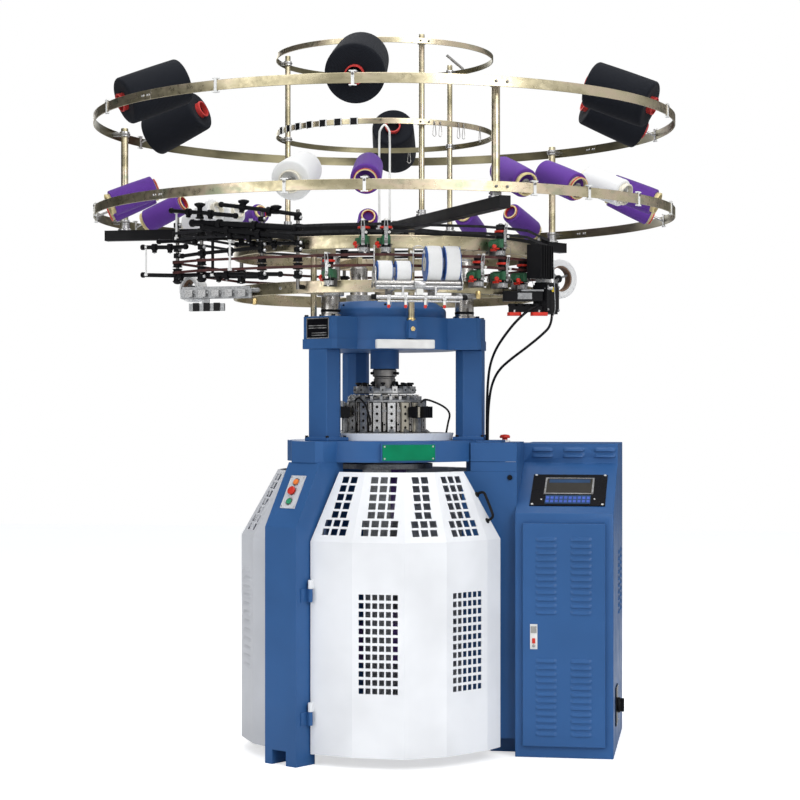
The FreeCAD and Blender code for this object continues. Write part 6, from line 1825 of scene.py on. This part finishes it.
def make_side_units():
    unit = Maker()
    turn = radial(-22.5)
    # cooled drive: core, fins and cover
    unit.block(692, 743, -95, 5, 1834, 1962, 0, turn)
    for k in range(8):
        unit.block(742, 752, -95 + 14 * k, -90 + 14 * k, 1836, 1960, 1, turn)
    unit.block(688, 692, -70, -14, 1900, 1955, 1, turn)
    unit.block(700, 740, -40, 0, 1820, 1835, 4, turn)
    # motor with a ribbed body, flange, bolts and label
    unit.block(692, 752, -45, 55, 1712, 1812, 1, turn)
    unit.block(696, 748, -41, 51, 1703, 1821, 0, turn)
    for y in (-38, 48):
        for z in (1718, 1806):
            unit.screw_on(turn, (752, y, z), (1, 0, 0), 4.5, 4, 3)
    unit.block(752, 752.6, -6, 16, 1786, 1804, 2, turn)
    unit.block(598, 694, -10, 10, 1781, 1799, 3, turn)
    unit.block(602.2, 610, -22, 22, 1776, 1816, 3, turn)
    unit.block(473, 600, -426, -402, 1708, 1730, 1, FACING)
    for k in range(4):
        unit.turned([(4, -14), (15, -14), (16, -12), (16, -4), (4, -4)], 20, 0,
                    FACING @ at(486 + 30 * k, -414, 1744))
    unit.block(450, 600, -438, -407, 1749, 1787, 0, FACING)
    unit.block(456, 500, -440, -438, 1753, 1783, 1, FACING)
    unit.block(506, 560, -439.5, -438, 1756, 1780, 3, FACING)
    unit.block(520, 604, -444, -438, 1786, 1792, 3, FACING)
    for x0, x1 in ((468, 520), (556, 620)):
        unit.flat([(x0, -430), (x0 + 8, -440), (x1 - 8, -440), (x1, -430), (x1, -404), (x0, -404)], 1694,
                  1707, 5, FACING)
        unit.rod(front((x0 + x1) / 2, -420, 1706), front((x0 + x1) / 2, -420, 1716), 7, 4)
    unit.wire([front(645, -402, 1880), front(648, -400, 1790), front(650, -398, 1720),
               front(640, -396, 1690)], 2.2, 3, 8, 4)
    unit.rod(front(610, -420, 1798), front(640, -424, 1798), 7, 4)
    for place, _, inner, _ in SPOOLS:
        unit.turned([(3, -8), (13, -8), (15, -6), (15, 6), (13, 8), (3, 8)], 28, 0, place)
        unit.turned(oblong(inner - 5, inner - 0.6, -18, 18), 48, 8, place, True)
        for k in range(3):
            unit.block(10, inner - 4, -4, 4, -3, 3, 3, place @ radial(120 * k + 20))
    unit.rod(front(645, -335, 1812), front(674, -245, 1845), 6, 3)
    unit.rod(front(-738, -262, 1800), front(-745, -190, 1808), 6, 3)
    # left-hand unit: cast tray, clip below it, brace and bolt
    corners = [(-783, -305), (-503, -390), (-503, -330), (-783, -245)]
    unit.flat(corners, 1766, 1800, 3, FACING)
    unit.flat([(-777, -301), (-509, -383), (-509, -337), (-777, -252)], 1800, 1810, 3, FACING)
    for k in range(5):
        x = -748 + 52 * k
        y = -317 - (x + 783) * 0.3036 + 12
        unit.block(x - 14, x + 14, y - 20.5, y - 18, 1770, 1797, 4, FACING)
        unit.screw(front(x + 22, y - 26, 1786), front(-0.29, -1, 0), 4, 3, 3)
    unit.flat([(-610, -351), (-750, -307), (-750, -267), (-610, -311)], 1718, 1746, 3, FACING)
    for x, y in ((-640, -342), (-680, -329), (-722, -316)):
        unit.flat([(x - 12, y - 1), (x + 12, y - 8), (x + 12, y + 4), (x - 12, y + 10)], 1716, 1748, 1,
                  FACING)
    unit.flat([(-670, -325), (-700, -317), (-700, -295), (-670, -303)], 1745, 1767, 3, FACING)
    unit.rod(front(-508, -372, 1795), front(-462, -360, 1795), 9, 3)
    unit.turned([(3, 1762), (9, 1762), (10, 1756), (10, 1742), (7, 1738), (3, 1738)][::-1], 20, 7,
                Matrix.Translation(front(-492, -372)))
    unit.turned([(3, 1779), (9, 1779), (10, 1774), (10, 1756), (7, 1750), (3, 1750)][::-1], 20, 7,
                Matrix.Translation(front(352, -560)))
    finishes = ("black_plastic", "fin_black", "label_yellow", "cast_grey", "white_zinc", "signal_red",
                "tube_cream", "brass", "tube_brown")
    unit.piece("side_units_dressed", finishes, slot="cast", replaces=("side_units",), edge=0.0008)
    spools = Maker()
    for place, outer, inner, half in SPOOLS:
        section = [(inner, -half), (outer - 5, -half), (outer - 1, -half + 3), (outer, -half + 7),
                   (outer, half - 7), (outer - 1, half - 3), (outer - 5, half), (inner, half)]
        spools.turned(section, 56, 0, place, True)
        spools.turned(oblong(inner + 0.1, inner + 5, -half - 0.5, -half + 0.4),
                      48, 1, place, True)
    spools.piece("side_spools_dressed", ("yarn_white", "tube_cream"), slot="white_yarn",
                 replaces=("side_spools",), angle=50)


# ---------------------------------------------------------------- operators
class KnittingStage(bpy.types.Operator):
    """Camera, lamps, world and floor"""

    bl_idname = "knitting.stage"
    bl_label = "Stage"

    def execute(self, context):
        make_finishes(context.scene.knitting_colours, context.scene.knitting_sizes)
        make_stage()
        return {"FINISHED"}


class KnittingCables(bpy.types.Operator):
    """Two motor cables as free cords"""

    bl_idname = "knitting.cables"
    bl_label = "Motor cables"

    def execute(self, context):
        make_cables()
        return {"FINISHED"}


class KnittingCastings(bpy.types.Operator):
    """Legs, table, columns, crown and their bare plates"""

    bl_idname = "knitting.castings"
    bl_label = "Castings"

    def execute(self, context):
        make_castings(context.scene.knitting_sizes)
        return {"FINISHED"}


class KnittingGuards(bpy.types.Operator):
    """Folded guard doors with windows, fields of holes and hinges"""

    bl_idname = "knitting.guards"
    bl_label = "Guard doors"

    def execute(self, context):
        make_guards(context.scene.knitting_sizes)
        return {"FINISHED"}


class KnittingCabinet(bpy.types.Operator):
    """Cabinet with its door, louvres, control board and switches"""

    bl_idname = "knitting.cabinet"
    bl_label = "Cabinet"

    def execute(self, context):
        make_cabinet(context.scene.knitting_sizes)
        return {"FINISHED"}


class KnittingCreel(bpy.types.Operator):
    """Creel rings, posts, clamps and arms"""

    bl_idname = "knitting.creel"
    bl_label = "Creel"

    def execute(self, context):
        make_creel()
        return {"FINISHED"}


class KnittingPackages(bpy.types.Operator):
    """Wound packages and cones with tubes, pins and clips"""

    bl_idname = "knitting.packages"
    bl_label = "Yarn packages"

    def execute(self, context):
        make_packages()
        return {"FINISHED"}


class KnittingHead(bpy.types.Operator):
    """Cam boxes, dial, needles and selectors"""

    bl_idname = "knitting.head"
    bl_label = "Knitting head"

    def execute(self, context):
        make_head()
        return {"FINISHED"}


class KnittingTakedown(bpy.types.Operator):
    """Take-down frame, rollers, cloth roll and the knitted tube"""

    bl_idname = "knitting.takedown"
    bl_label = "Take-down and fabric"

    def execute(self, context):
        make_takedown()
        return {"FINISHED"}


class KnittingFeeders(bpy.types.Operator):
    """Feeder rings, feeders and their wheels"""

    bl_idname = "knitting.feeders"
    bl_label = "Yarn feeders"

    def execute(self, context):
        make_feeders()
        return {"FINISHED"}


class KnittingBelts(bpy.types.Operator):
    """Four drive belts and their tensioner"""

    bl_idname = "knitting.belts"
    bl_label = "Belts and tensioner"

    def execute(self, context):
        make_belts()
        make_tensioner()
        return {"FINISHED"}


class KnittingElastic(bpy.types.Operator):
    """Elastic-yarn unit with its rollers and bobbins, and both side units"""

    bl_idname = "knitting.elastic"
    bl_label = "Elastic and side units"

    def execute(self, context):
        make_elastic_unit()
        make_side_units()
        return {"FINISHED"}


OPERATORS = (KnittingStage, KnittingCables, KnittingCastings, KnittingGuards, KnittingCabinet, KnittingCreel,
             KnittingPackages, KnittingHead, KnittingTakedown, KnittingFeeders, KnittingBelts,
             KnittingElastic)


class KnittingPanel(bpy.types.Panel):
    """Lists the pieces of the knitting machine"""

    bl_idname = "VIEW3D_PT_knitting"
    bl_label = "Knitting machine"
    bl_space_type = "VIEW_3D"
    bl_region_type = "UI"
    bl_category = "Knitting"

    def draw(self, context):
        for operator in OPERATORS:
            self.layout.operator(operator.bl_idname)
        for group in (context.scene.knitting_colours, context.scene.knitting_sizes):
            for label in group.bl_rna.properties.keys():
                if label not in ("rna_type", "name"):
                    self.layout.prop(group, label)


CLASSES = (KnittingColours, KnittingSizes, *OPERATORS, KnittingPanel)


def register():
    for one in CLASSES:
        bpy.utils.register_class(one)
    bpy.types.Scene.knitting_colours = PointerProperty(type=KnittingColours)
    bpy.types.Scene.knitting_sizes = PointerProperty(type=KnittingSizes)


def unregister():
    del bpy.types.Scene.knitting_sizes
    del bpy.types.Scene.knitting_colours
    for one in reversed(CLASSES):
        bpy.utils.unregister_class(one)


def main():
    """Make every piece in order."""
    register()
    for operator in OPERATORS:
        family, name = operator.bl_idname.split(".")
        getattr(getattr(bpy.ops, family), name)()


if __name__ == "__main__":
    main()
